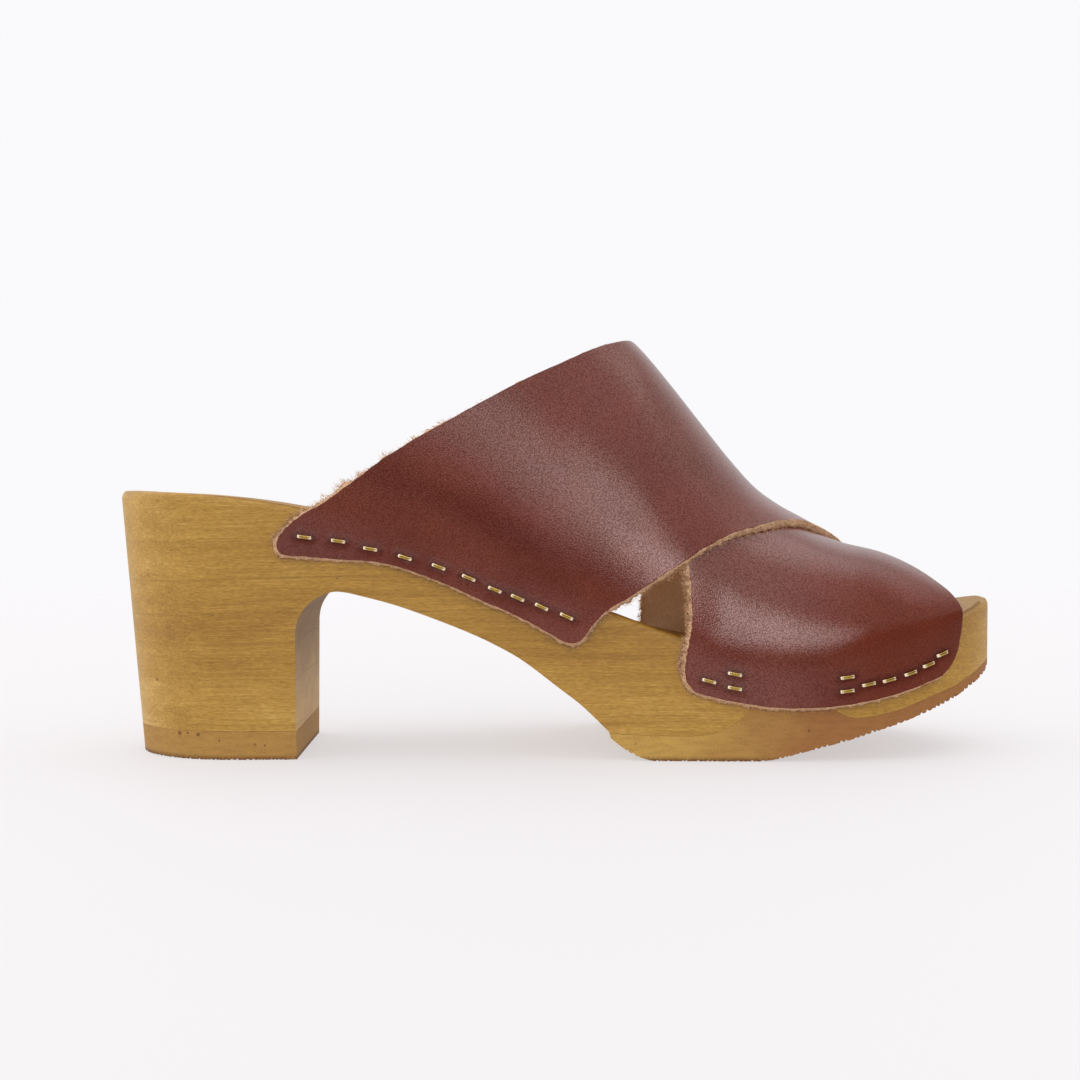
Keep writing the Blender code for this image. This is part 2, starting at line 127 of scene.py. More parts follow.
# Underside of the wood: breast and arch, then the seat of the tread. FLOOR is the tread's own.
ARCH = [
    (54.5, 22.0), (54.5, 36.0), (55.4, 40.4), (58.0, 44.3), (61.9, 47.0), (66.6, 48.2),
    (75.0, 46.5), (84.0, 44.0), (94.0, 40.4), (103.0, 36.8), (110.0, 33.6), (118.6, 28.8),
    (129.8, 20.4), (136.0, 15.6), (144.1, 7.8),
]
SEAT = [
    (144.1, 7.8), (156.0, 7.3), (169.0, 7.3), (174.0, 8.3), (178.9, 10.5), (182.6, 13.7),
    (190.8, 23.0), (199.8, 23.0), (206.9, 15.4), (209.9, 13.3), (214.2, 12.3), (218.5, 12.7),
    (226.6, 14.4), (236.0, 17.6), (243.2, 19.8), (248.0, 21.8), (252.0, 23.8), (256.4, 26.0),
    (259.0, 27.4),
]
FLOOR = [
    (144.1, 6.5), (148.0, 3.4), (152.0, 1.2), (156.0, 0.0), (186.0, 0.0), (191.0, 0.6),
    (197.0, 2.1), (205.0, 4.2), (213.6, 6.5), (219.4, 8.3), (226.6, 10.4), (234.0, 12.9),
    (240.0, 15.1), (245.2, 17.3), (250.8, 20.1), (255.6, 22.6), (259.0, 25.2),
]
FLAT_START = 4          # rows of FLOOR before the tread lies flat

# Inside of the upper: crest height and side, and how round its shoulders are.
LastRow = namedtuple("LastRow", "x crest crest_y round_top round_side")
LAST = [LastRow(*row) for row in (
    (40, 254.0, 2.0, 2.0, 1.55),
    (100, 178.0, 4.0, 2.0, 1.55),
    (130, 140.2, 5.5, 2.0, 1.55),
    (145, 122.4, 6.0, 2.0, 1.55),
    (153, 114.0, 6.2, 2.0, 1.55),
    (160, 105.6, 6.4, 2.0, 1.55),
    (168, 95.5, 6.8, 2.0, 1.6),
    (178, 83.0, 7.4, 2.0, 1.65),
    (185.5, 74.8, 8.0, 2.05, 1.7),
    (193.7, 68.8, 8.6, 2.1, 1.75),
    (200.3, 65.2, 9.2, 2.1, 1.8),
    (206, 62.2, 9.6, 2.15, 1.85),
    (213, 59.4, 10.0, 2.2, 1.9),
    (227, 55.8, 10.0, 2.3, 2.0),
    (235, 52.6, 9.6, 2.3, 2.0),
    (241, 49.6, 9.2, 2.3, 2.0),
    (249, 46.4, 9.0, 2.3, 2.0),
)]
MarginRow = namedtuple("MarginRow", "x depth")
MARGIN = [MarginRow(*row) for row in (
    (46, 16.2), (56, 15.2), (67, 13.5), (79, 11.0), (96, 10.6), (107, 11.6), (118, 12.4),
    (125, 13.6), (134, 15.2), (160, 15.8), (195, 15.8), (230, 15.8), (250, 14.6),
)]

# Strap edges from the inner bottom edge (t = -1) over the crest (0) to the outer bottom edge (1).
EdgeRow = namedtuple("EdgeRow", "t over_rear over_front under_rear under_front")
EDGES = [EdgeRow(*row) for row in (
    (-1.0, 47.0, 135.0, 164.0, 241.2),
    (-0.9, 51.2, 138.9, 163.8, 244.0),
    (-0.8, 60.2, 144.8, 165.2, 245.2),
    (-0.7, 77.8, 154.2, 165.9, 245.0),
    (-0.6, 97.4, 164.6, 164.8, 244.2),
    (-0.4, 126.1, 182.0, 161.0, 241.6),
    (-0.2, 142.4, 196.0, 156.8, 235.8),
    (0.0, 150.6, 208.5, 151.6, 225.6),
    (0.2, 155.6, 219.5, 142.6, 208.0),
    (0.4, 157.2, 229.5, 126.1, 187.0),
    (0.6, 157.8, 234.6, 97.4, 162.5),
    (0.7, 157.8, 235.8, 77.8, 150.0),
    (0.8, 157.2, 236.2, 60.2, 139.6),
    (0.9, 155.6, 235.4, 51.2, 133.8),
    (1.0, 154.6, 232.8, 47.0, 130.0),
)]

# Slant of each strap's rear and front edge, as shares of its cut slant: on top and at the side.
EDGE_SLANT = {"over": ((-0.3, 0.8), (0.9, 0.9)), "under": ((1.6, 1.6), (0.4, 0.4))}
SLANT_LONGEST = 2.0

# Staples: place along the sole and height above the strap's lower edge.
StapleRow = namedtuple("StapleRow", "x rise")
REAR_STAPLES = [StapleRow(*row) for row in (
    (57.6, 6.6), (67.1, 6.1), (76.1, 4.3), (85.8, 4.0), (95.3, 4.8), (103.8, 5.5), (111.2, 5.5),
    (117.7, 6.1), (124.5, 7.3), (131.6, 8.6),
)]
FRONT_STAPLES = [StapleRow(*row) for row in (
    (171.8, 5.4), (179.0, 9.0), (179.0, 5.0), (210.6, 8.9), (210.6, 5.0), (216.6, 5.9),
    (222.4, 5.7), (228.6, 5.7), (234.0, 6.1), (238.2, 7.4),
)]
OUTER_SHIFT = -8.0
STAPLE_ENDS = (
    ("inner_rear", REAR_STAPLES, -1, 0.0),
    ("inner_front", FRONT_STAPLES, -1, 0.0),
    ("outer_rear", REAR_STAPLES, 1, 0.0),
    ("outer_front", FRONT_STAPLES, 1, OUTER_SHIFT),
)

# Soft lights: turn from the camera to the toe, height and half sizes in degrees, and power.
Light = namedtuple("Light", "bearing height half_wide half_high power")
LIGHTS = (Light(4, 19.5, 12, 10, 4.0), Light(112, 59, 30, 10, 1.0))

# Growth layers of the wood by height on the heel: thin dark lines, and the tone between them.
WOOD_TOP = 80.0
GROWTH_LINES = (12.5, 26.0, 36.5, 45.0, 55.0, 66.0)
GROWTH_TONES = ((0.0, 0.52), (16.0, 0.54), (26.0, 0.45), (38.0, 0.28), (50.0, 0.33), (62.0, 0.45),
                (76.0, 0.45))

# Small knocks in the wood and pits in the lift: place along and up in the frame, and radius.
WOOD_MARKS = ((-116.0, 22.2, 0.5), (-63.0, 52.0, 0.35))
LIFT_PITS = ((-108.9, 7.3, 0.8), (-106.4, 7.5, 0.5), (-103.2, 7.2, 0.75), (-97.0, 5.6, 0.4),
             (-84.0, 4.2, 0.4))


# Shape of the shoe.


def spline(rows, field):
    """Smooth curve of one table column, with slopes taken from the neighbouring rows."""
    xs = np.array([row[0] for row in rows], float)
    ys = np.array([getattr(row, field) for row in rows], float)
    step = np.diff(xs)
    rise = np.diff(ys) / step
    slope = np.empty_like(ys)
    slope[0], slope[-1] = rise[0], rise[-1]
    slope[1:-1] = (rise[:-1] * step[1:] + rise[1:] * step[:-1]) / (step[:-1] + step[1:])

    def at(x):
        x = np.clip(x, xs[0], xs[-1])
        k = np.clip(np.searchsorted(xs, x) - 1, 0, len(step) - 1)
        u = (x - xs[k]) / step[k]
        bow = (1 - u) * (slope[k] - rise[k]) + u * (rise[k] - slope[k + 1])
        return ys[k] + (x - xs[k]) * rise[k] + step[k] * u * (1 - u) * bow

    return at


SOLE_AT = {field: spline(SOLE, field) for field in SoleRow._fields[1:]}
LAST_AT = {field: spline(LAST, field) for field in LastRow._fields[1:]}
EDGE_AT = {field: spline(EDGES, field) for field in EdgeRow._fields[1:]}
MARGIN_AT = spline(MARGIN, "depth")


def smoothstep(low, high, x):
    """Soft step from 0 to 1."""
    u = np.clip((np.asarray(x, float) - low) / (high - low), 0.0, 1.0)
    return u * u * (3 - 2 * u)


def hump(stops, x):
    """Soft rise between the first two stops and fall between the last two."""
    return smoothstep(*stops[:2], x) * (1 - smoothstep(*stops[2:], x))


def flowing(points, step):
    """Points about one step apart on a smooth curve through the given points."""
    p = np.array(points, float)
    p = np.vstack([2 * p[0] - p[1], p, 2 * p[-1] - p[-2]])
    out = []
    for a, b, c, d in zip(p, p[1:], p[2:], p[3:]):
        before, size, after = (np.linalg.norm(span) for span in (b - a, c - b, d - c))
        start = (c - a) / (size + before) * size
        stop = (d - b) / (after + size) * size
        count = max(1, int(math.ceil(size / step)))
        for u in np.arange(count) / count:
            out.append((2 * u**3 - 3 * u**2 + 1) * b + (u**3 - 2 * u**2 + u) * start
                       + (3 * u**2 - 2 * u**3) * c + (u**3 - u**2) * stop)
    out.append(p[-2])
    return np.array(out)


def height_at(curve, x):
    """Height of a line of points at x."""
    return float(np.interp(x, curve[:, 0], curve[:, 1]))


def end_factor(x):
    """Share of the full width left at x: below 1 only in the rounded heel and toe."""
    heel = np.clip((HEEL_ROUND - x) / HEEL_ROUND, 0.0, 1.0)
    toe = np.clip((x - LENGTH + TOE_ROUND) / TOE_ROUND, 0.0, 1.0)
    return np.sqrt(1 - np.maximum(heel, toe) ** 2)


def sole_edges(x):
    """Inner and outer edge of the sole's plan at x."""
    x = np.asarray(x, float)
    middle = np.where(x > LENGTH / 2, TOE_TIP_Y, 0.0)
    share = end_factor(x)
    return (middle + (SOLE_AT["inner"](x) - middle) * share,
            middle + (SOLE_AT["outer"](x) - middle) * share)


def draft_width(x, z):
    """Sideways scale of the sole at height z, where the heel narrows to the floor."""
    low = np.clip(1 - np.asarray(z, float) / HEEL_HEIGHT, 0.0, 1.0)
    return 1 - HEEL_TAPER * low * (1 - smoothstep(BREAST_X, DRAFT_END_X, x))


def draft(x, y, z):
    """Points of the straight-sided sole moved in by the heel's lean and taper."""
    y, z = np.asarray(y, float), np.asarray(z, float)
    low = np.clip(1 - z / HEEL_HEIGHT, 0.0, None)
    lean = max(0.0, BREAST_X - x) * HEEL_LEAN * low
    return np.stack([x + lean, y * draft_width(x, z), z], -1)


def rim_reach(x, y, step=0.05):
    """Distance in from the outline of the sole's plan."""
    inner, outer = sole_edges(x)
    inner_on, outer_on = sole_edges(x + step if x < LENGTH / 2 else x - step)
    reach = np.minimum((y - inner) / np.hypot(1, (inner_on - inner) / step),
                       (outer - y) / np.hypot(1, (outer_on - outer) / step))
    return np.clip(np.minimum(reach, min(x, LENGTH - x)), 0.0, None)


def rim_drop(x, y):
    """How far the rounded rim falls below the footbed's edge."""
    gone = np.clip(1 - rim_reach(x, y) / RIM_ROUND, 0.0, 1.0)
    return RIM_ROUND * (1 - np.sqrt(1 - gone ** 2))


def footbed(x, y):
    """Height of the footbed."""
    inner, outer = sole_edges(x)
    across = (np.asarray(y, float) - inner) / max(float(outer - inner), 1e-6)
    rim = SOLE_AT["rim_inner"](x) * (1 - across) + SOLE_AT["rim_outer"](x) * across
    bowl = np.clip(4 * across * (1 - across), 0.0, 1.0)
    bowl = bowl * smoothstep(0.0, DISH_RUN, min(x, LENGTH - x))
    return rim - SOLE_AT["dish"](x) * bowl


def last_point(x, t, step=0.5):
    """Point on the inside of the upper at x and girth position t."""
    x, t = np.asarray(x, float), np.asarray(t, float)
    near = np.minimum(x, LENGTH - 1.0)
    inner, outer = sole_edges(near)
    inner_on, outer_on = sole_edges(near + step)
    left = t < 0
    edge = np.where(left, inner, outer)
    slope = np.where(left, inner_on - inner, outer_on - outer) / step
    seat = LEATHER_SEAT * np.sqrt(1 + slope * slope)
    edge = edge + np.where(left, -seat, seat)
    rim = np.where(left, SOLE_AT["rim_inner"](x), SOLE_AT["rim_outer"](x))
    rim_high = rim + RIM_RISE
    girth = np.abs(t)
    low_z = rim_high - (MARGIN_AT(x) + RIM_RISE) * (girth - RIM_T) / (1 - RIM_T)
    angle = np.pi / 2 * (1 - np.clip(girth / RIM_T, 0.0, 1.0))
    crest_y = LAST_AT["crest_y"](x)
    high = np.maximum(LAST_AT["crest"](x) - rim_high, 1.0)
    dome_z = rim_high + high * np.sin(angle) ** (2 / LAST_AT["round_side"](x))
    upright = edge * draft_width(x, np.minimum(low_z, rim))
    dome_y = crest_y + (upright - crest_y) * np.cos(angle) ** (2 / LAST_AT["round_top"](x))
    on_side = girth >= RIM_T
    y, z = np.where(on_side, upright, dome_y), np.where(on_side, low_z, dome_z)
    drawn = PINCH * hump(PINCH_HIGH, z - rim) * hump(PINCH_LONG, x)
    return np.stack([x, y + np.where(left, drawn, -drawn), z], -1)


def unit(vectors):
    """Vectors of length one."""
    return vectors / np.maximum(np.linalg.norm(vectors, axis=-1, keepdims=True), 1e-9)


def last_normal(x, t):
    """Outward direction of the upper."""
    along = last_point(x + 0.4, t) - last_point(x - 0.4, t)
    around = last_point(x, t + 0.004) - last_point(x, t - 0.004)
    return unit(np.cross(along, around))


def lap(x, t, thick):
    """Height of the over strap's inside above the last: it climbs onto the under strap."""
    reach = np.minimum(x - EDGE_AT["under_rear"](t), EDGE_AT["under_front"](t) - x)
    return thick * smoothstep(-LAP_RAMP, 0.0, reach)


def strap_place(side, inset, step=0.01):
    """Lengthwise and girth position of a strap's grid, drawn in from its cut edges by inset."""
    rows, columns = STRAP_GRID
    s = np.linspace(-1.0, 1.0, rows)[:, None]
    s = 0.45 * s + 0.55 * np.sin(np.pi / 2 * s)
    u = np.linspace(0.0, 1.0, columns)[None, :]
    v = 0.45 * u + 0.55 * (0.5 - 0.5 * np.cos(np.pi * u))
    past = np.clip((np.abs(2 * v - 1) - 1) / CORNER_SHARE + 1, 0.0, 1.0)
    corner = 1 - np.sqrt(1 - past ** 2)
    t = s * (1 - CORNER_T * corner * s ** 6)
    per_t = (MARGIN_AT(MIDDLE_X) + RIM_RISE) / (1 - RIM_T)
    t = t * (1 - inset / per_t * np.abs(s) ** 8)
    edges = []
    for name, (top, low) in zip(("_rear", "_front"), EDGE_SLANT[side]):
        at = EDGE_AT[side + name]
        share = top + (low - top) * smoothstep(0.6, 0.8, np.abs(t))
        run = (at(t + step) - at(t - step)) / (2 * step)
        middle = at(t)
        girth = (last_point(middle, t + step) - last_point(middle, t - step)) / (2 * step)
        slant = np.sqrt(1 + (run / np.linalg.norm(girth, axis=-1)) ** 2)
        edges.append((middle, inset * share * np.minimum(slant, SLANT_LONGEST)))
    (rear, draw_rear), (front, draw_front) = edges
    rear, front = rear + draw_rear, front - draw_front
    return rear + (front - rear) * v, t


def staple_spots():
    """Name, middle, lengthwise direction and outward direction of every staple."""
    spots = []
    for end, rows, side, shift in STAPLE_ENDS:
        for number, row in enumerate(rows, 1):
            x = row.x + shift
            t = side * (1 - (1 - RIM_T) * row.rise / (float(MARGIN_AT(x)) + RIM_RISE))
            normal = last_normal(x, t)
            along = last_point(x + 1.0, t) - last_point(x - 1.0, t)
            along = unit(along - normal * np.dot(along, normal))
            spots.append((f"staple_{end}_{number:02d}", last_point(x, t), along, normal))
    return spots


# Meshes.


def to_frame(points):
    """Table millimetres to the frame's metres."""
    return (np.asarray(points, float).reshape(-1, 3) + SHIFT) * MM


def linked(name, data):
    """New object in the scene, at the origin."""
    obj = bpy.data.objects.new(name, data)
    bpy.context.scene.collection.objects.link(obj)
    return obj


def store(mesh, name, values):
    """Keep a number or a vector for every point of a mesh."""
    values = np.asarray(values, np.float32)
    kind, field = ("FLOAT", "value") if values.ndim == 1 else ("FLOAT_VECTOR", "vector")
    mesh.attributes.new(name, kind, "POINT").data.foreach_set(field, values.ravel())


def outward(bm):
    """Turn the faces of a closed mesh outward."""
    if bm.calc_volume(signed=True) < 0:
        bmesh.ops.reverse_faces(bm, faces=bm.faces)


def loft(name, rings, mat):
    """Closed solid through rings of equal length; an end ring may shrink to an upright line."""
    count = len(rings[0])
    bm = bmesh.new()
    verts = [bm.verts.new(point) for point in to_frame(np.concatenate(rings))]
    for one in range(0, len(verts) - count, count):
        two = one + count
        for i in range(count):
            j = (i + 1) % count
            bm.faces.new((verts[one + i], verts[one + j], verts[two + j], verts[two + i]))
    for r in (0, len(rings) - 1):
        if np.ptp(rings[r][:, 1]) > 1.0:
            bm.faces.new(verts[r * count:(r + 1) * count])
    bmesh.ops.remove_doubles(bm, verts=bm.verts, dist=0.01 * MM)
    bmesh.ops.dissolve_degenerate(bm, dist=0.005 * MM, edges=bm.edges)
    bmesh.ops.recalc_face_normals(bm, faces=bm.faces)
    outward(bm)
    mesh = bpy.data.meshes.new(name)
    bm.to_mesh(mesh)
    bm.free()
    mesh.materials.append(mat)
    mesh.shade_smooth()
    mesh.set_sharp_from_angle(angle=math.radians(30))
    return linked(name, mesh)


def grow(name, points, edges, fields, tree, named, values):
    """Object grown by a geometry tree on points that carry fields, kept as a plain mesh."""
    start = bpy.data.meshes.new(name)
    start.from_pydata(to_frame(points).tolist(), edges, [])
    for field, numbers in fields.items():
        store(start, field, numbers)
    obj = linked(name, start)
    modifier = obj.modifiers.new("grow", "NODES")
    modifier.node_group = tree
    for label, value in values.items():
        modifier[named[label]] = value
    graph = bpy.context.evaluated_depsgraph_get()
    mesh = bpy.data.meshes.new_from_object(obj.evaluated_get(graph))
    if not mesh.polygons:
        raise RuntimeError(f"{name} came out empty")
    mesh.name = name
    obj.modifiers.clear()
    obj.data = mesh
    bpy.data.meshes.remove(start)
    return obj


def settle(obj, slot, *nodes):
    """Fix a finished piece to the shoe's body, in place of its CAD nodes."""
    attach(obj, "root")
    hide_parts(*nodes)


# Nodes and materials.


def linear(code):
    """Linear RGBA from an sRGB hex code."""
    parts = [int(code[i:i + 2], 16) / 255 for i in (1, 3, 5)]
    return (*(c / 12.92 if c <= 0.04045 else ((c + 0.055) / 1.055) ** 2.4 for c in parts), 1.0)


def fill(node, inputs):
    """Fill inputs, by name or in order, by values or links; a node gives its first output."""
    for key, value in inputs.items() if isinstance(inputs, dict) else enumerate(inputs):
        if isinstance(value, bpy.types.Node):
            value = next(socket for socket in value.outputs if socket.enabled)
        if isinstance(value, bpy.types.NodeSocket):
            node.id_data.links.new(value, node.inputs[key])
        else:
            node.inputs[key].default_value = value


def add(tree, kind, inputs=(), operation=None, **settings):
    """New node with its settings and filled inputs; a shader node's kind has no prefix here."""
    node = tree.nodes.new(kind if "Node" in kind else "ShaderNode" + kind)
    if operation:
        node.operation = operation
    for key, value in settings.items():
        setattr(node, key, value)
    fill(node, inputs)
    return node


def new_material(name):
    """Empty node material with its shader, and object coordinates in millimetres."""
    mat = bpy.data.materials.new(name)
    mat.use_nodes = True
    tree = mat.node_tree
    where = add(tree, "TexCoord").outputs["Object"]
    place = add(tree, "VectorMath", {0: where, "Scale": 1 / MM}, "SCALE")
    return mat, tree, tree.nodes["Principled BSDF"], place


def coat(shader, tint, rough, gloss, relief):
    """Tint as share, first and second; roughness; gloss; relief as height, strength and mm."""
    tree = shader.id_data
    colour = add(tree, "Mix", dict(zip(("Factor", "A", "B"), tint)), data_type="RGBA")
    height, strength, depth = relief
    bump = add(tree, "Bump", {"Height": height, "Strength": strength, "Distance": depth * MM})
    fill(shader, {"Base Color": colour, "Roughness": rough, "Specular IOR Level": gloss,
                        "Normal": bump})


def ramp_stops(node, stops):
    """Fill a colour ramp."""
    elements = node.color_ramp.elements
    while len(elements) > 1:
        elements.remove(elements[-1])
    elements[0].position, elements[0].color = stops[0]
    for position, colour in stops[1:]:
        elements.new(position).color = colour
    return node


def grey(value):
    """Opaque grey."""
    return (value, value, value, 1.0)


def dots(tree, place, marks):
    """Small round marks on the photographed side, by place along and up."""
    across = add(tree, "SeparateXYZ", (place,)).outputs["Y"]
    near = add(tree, "Math", (across, 0.0), "LESS_THAN")
    flat = add(tree, "VectorMath", (place, (1.0, 0.0, 1.0)), "MULTIPLY")
    most = 0.0
    for x, z, size in marks:
        gap = add(tree, "VectorMath", (flat, (x, 0.0, z)), "DISTANCE")
        dot = add(tree, "MapRange", (gap, 0.5 * size, size, 0.85, 0.0))
        most = add(tree, "Math", (dot, most), "MAXIMUM")
    return add(tree, "Math", (most, near), "MULTIPLY")


def stained_wood(look):
    """Alder-like wood, honey-olive stain under satin lacquer: fine streaks along the shoe."""
    mat, tree, shader, place = new_material("stained_alder")
    sway = add(tree, "TexNoise", {"Vector": place, "Scale": 1 / 60, "Detail": 2.0})
    bend = add(tree, "VectorMath", (sway.outputs["Color"], (0.0, 6.0, 4.0)), "MULTIPLY")
    bent = add(tree, "VectorMath", (place, bend))
    # Layers of the wood: length, depth and height of one mark in mm, and fine detail.
    layers = {}
    for name, size, detail in (("streak", (45, 1.2, 0.45), 4.0), ("fleck", (1.7, 0.5, 0.36), 1.0),
                               ("pore", (5, 0.5, 0.36), 1.0), ("cloud", (60, 14, 6), 3.0)):
        spread = add(tree, "Mapping", {"Vector": bent, "Scale": tuple(1 / mm for mm in size)})
        layers[name] = add(tree, "TexNoise", {"Vector": spread, "Scale": 1.0, "Detail": detail,
                                              "Roughness": 0.6})
    along, _, up = add(tree, "SeparateXYZ", (bent,)).outputs
    tilt = add(tree, "Math", (along, -0.012, up), "MULTIPLY_ADD")
    level = add(tree, "MapRange", (tilt, 0.0, WOOD_TOP))
    # Tone: the growth layer, clouded by the stain and streaked by the fibres. The faces at toe and
    # heel back are painted paler, a painted highlight where light falls on them; the forefoot
    # takes a little more stain.
    tone = ramp_stops(add(tree, "ValToRGB", (level,)),
                      [(height / WOOD_TOP, grey(value)) for height, value in GROWTH_TONES])
    faces = add(tree, "TexCoord").outputs["Normal"]
    ends = add(tree, "Math", (add(tree, "SeparateXYZ", (faces,)),), "ABSOLUTE")
    for span in ((layers["cloud"], 0.3, 0.7, -0.2, 0.2),
                 (layers["streak"], 0.3, 0.7, -look.fibre_depth, look.fibre_depth),
                 (layers["fleck"], 0.25, 0.75, -look.fleck_depth, look.fleck_depth),
                 (ends, 0.5, 0.95, 0.0, look.end_highlight),
                 (along, -10.0, 30.0, 0.0, -0.12)):
        tone = add(tree, "Math", (tone, add(tree, "MapRange", span)))
    base = ramp_stops(add(tree, "ValToRGB", (tone,)),
                      [(0.0, look.stain_dark), (0.55, look.stain_light), (1.0, look.stain_pale)])
    # Dark marks: growth lines, pores, the darker rim, and end grain with painted shade at the
    # breast.
    stops = [(0.0, grey(0.0))]
    for height in GROWTH_LINES:
        at = height / WOOD_TOP
        stops += [(at - 0.005, grey(0.0)), (at, grey(1.0)), (at + 0.0025, grey(0.0))]
    lines = ramp_stops(add(tree, "ValToRGB", (level,)), stops)
    patch = add(tree, "MapRange", (layers["cloud"], 0.4, 0.6, 0.25 * look.line_depth,
                                   look.line_depth))
    line = add(tree, "Math", (lines, patch), "MULTIPLY")
    pore = add(tree, "MapRange", (layers["pore"], 0.6, 0.74, 0.0, look.pore_depth))
    # End grain of the heel's breast and arch, darker, with painted shade deepening up under the
    # arch:
    # it faces the toe and the floor, behind the waist.
    faces = add(tree, "VectorMath", (faces, (1.0, 0.0, -1.0)), "DOT_PRODUCT")
    breast = 1.0
    for span in ((faces, 0.5, 0.95, 0.0, 1.0), (along, -48.0, -58.0, 0.0, 1.0),
                 (up, 14.0, 50.0, 0.0, 1.25)):
        breast = add(tree, "Math", (add(tree, "MapRange", span), breast), "MULTIPLY")
    darkening = add(tree, "Attribute", attribute_name="darkening").outputs["Fac"]
    darkening = add(tree, "Math", (darkening, breast), "MAXIMUM")
    dark = add(tree, "Math", (line, pore))
    dark = add(tree, "Math", (dark, dots(tree, place, WOOD_MARKS)))
    dark = add(tree, "Math", (darkening, look.darkening_depth, dark), "MULTIPLY_ADD", use_clamp=True)
    rough = add(tree, "MapRange", (layers["streak"], 0.0, 1.0, 0.42, 0.6))
    gloss = add(tree, "MapRange", (darkening, 0.0, 1.0, look.lacquer, 0.06))
    relief = add(tree, "Math", (layers["streak"], pore), "SUBTRACT")
    coat(shader, (dark, base, look.stain_deep), rough, gloss, (relief, 0.1, 0.12))
    return mat


def tread_rubber(look):
    """Tan microcellular rubber with a sanded side: matt, finely speckled, with a few open pits."""
    mat, tree, shader, place = new_material("tan_tread_rubber")
    cloud = add(tree, "TexNoise", {"Vector": place, "Scale": 1 / 12, "Detail": 3.0})
    along, _, up = add(tree, "SeparateXYZ", (place,)).outputs
    # From the lift at the heel, over the ball, to the toe.
    along = add(tree, "Math", (cloud, 24.0, along), "MULTIPLY_ADD")
    along = add(tree, "MapRange", (along, -118.0, 142.0))
    base = ramp_stops(add(tree, "ValToRGB", (along,)),
                      [(0.3, look.lift_colour), (0.56, look.rear_colour), (0.62, look.rear_colour),
                       (0.78, look.toe_colour)])
    cell = add(tree, "TexNoise", {"Vector": place, "Scale": 1 / 0.45, "Detail": 2.0,
                                  "Roughness": 0.7})
    smear = add(tree, "Mapping", {"Vector": place, "Scale": (1 / 5, 1 / 1.2, 1 / 1.2)})
    smear = add(tree, "TexNoise", {"Vector": smear, "Scale": 1.0, "Detail": 3.0})
    dark = add(tree, "MapRange", (add(tree, "Math", (cell, smear)), 0.75, 1.1, 0.3, 0.0))
    pit = add(tree, "TexVoronoi", {"Vector": place, "Scale": 1 / 5.5, "Randomness": 1.0})
    hole = add(tree, "MapRange", (pit, 0.05, 0.11, 0.75, 0.0))
    # Darker in patches in the lowest millimetre, where the tread meets the floor.
    bottom_dark = add(tree, "MapRange", (up, 0.4, 1.6, 1.0, 0.0))
    patchy = add(tree, "MapRange", (cell, 0.3, 0.5))
    bottom_dark = add(tree, "Math", (bottom_dark, patchy), "MULTIPLY")
    for part in (hole, bottom_dark, dots(tree, place, LIFT_PITS)):
        dark = add(tree, "Math", (dark, part), "MAXIMUM")
    relief = add(tree, "Math", (hole, -2.0, cell), "MULTIPLY_ADD")
    coat(shader, (dark, base, look.pit_colour), 0.72, 0.35, (relief, 0.3, 0.15))
    return mat


def strap_leather(look):
    """Oiled vegetable-tanned cowhide, aniline dyed: fine pebble grain with a soft waxy gloss."""
    mat, tree, shader, place = new_material("oxblood_cowhide_grain")
    drift = add(tree, "TexNoise", {"Vector": place, "Scale": 1 / 1.1, "Detail": 1.0})
    shove = add(tree, "VectorMath", {0: drift.outputs["Color"], "Scale": 0.3}, "SCALE")
    moved = add(tree, "VectorMath", (place, shove))
    pebble = add(tree, "TexVoronoi", {"Vector": moved, "Scale": 1 / look.grain_mm,
                                      "Smoothness": 0.6}, feature="SMOOTH_F1")
    crumb = add(tree, "TexNoise", {"Vector": place, "Scale": 1 / 0.25, "Detail": 2.0,
                                   "Roughness": 0.6})
    cloud = add(tree, "TexNoise", {"Vector": place, "Scale": 1 / 22, "Detail": 3.0})
    tone = add(tree, "MapRange", (cloud, 0.3, 0.7))
    base = add(tree, "Mix", {"Factor": tone, "A": look.dye_dark, "B": look.dye_light},
               data_type="RGBA")
    height = add(tree, "Math", (crumb, 0.7, pebble), "MULTIPLY_ADD")
    # Valleys between the pebbles darken: dye held there, and painted shade of the grain.
    valley = add(tree, "MapRange", (height, 0.62, 1.0))
    # Painted shadow round the staples and painted shade in the bend above the rim, toward the deep
    # dye.
    dent_and_shade = add(tree, "Attribute", attribute_name="dent_and_shade").outputs["Fac"]
    deep = add(tree, "Math", (dent_and_shade, 0.5), "MULTIPLY")
    deep = add(tree, "Math", (valley, 0.36, deep), "MULTIPLY_ADD", use_clamp=True)
    rough = add(tree, "MapRange", (cloud, 0.0, 1.0, look.gloss - 0.03, look.gloss + 0.04))
    # Wax sits on the pebbles and leaves the valleys dull; its tint is the dye's.
    wax = add(tree, "Attribute", attribute_name="wax").outputs["Fac"]
    bare = add(tree, "MapRange", (valley, 0.0, 1.0, 0.66, 0.3))
    shine = add(tree, "Math", (wax, bare), "MULTIPLY")
    fill(shader, {"Specular Tint": look.wax_tint})
    coat(shader, (deep, base, look.dye_deep_and_shade), rough, shine, (height, look.grain_depth, -0.05))
    return mat


def flesh_suede(look):
    """Flesh side of the hide: brushed fibres, no gloss, cloudy brown."""
    mat, tree, shader, place = new_material("cowhide_flesh_side")
    cloud = add(tree, "TexNoise", {"Vector": place, "Scale": 1 / 9, "Detail": 4.0})
    nap = add(tree, "TexNoise", {"Vector": place, "Scale": 1 / 0.6, "Detail": 3.0,
                                 "Roughness": 0.7})
    tone = add(tree, "MapRange", (add(tree, "Math", (nap, cloud)), 0.7, 1.3))
    fill(shader, {"Sheen Weight": 0.25})
    coat(shader, (tone, look.suede_dark, look.suede_light), 0.95, 0.15, (nap, 0.5, 0.2))
    return mat


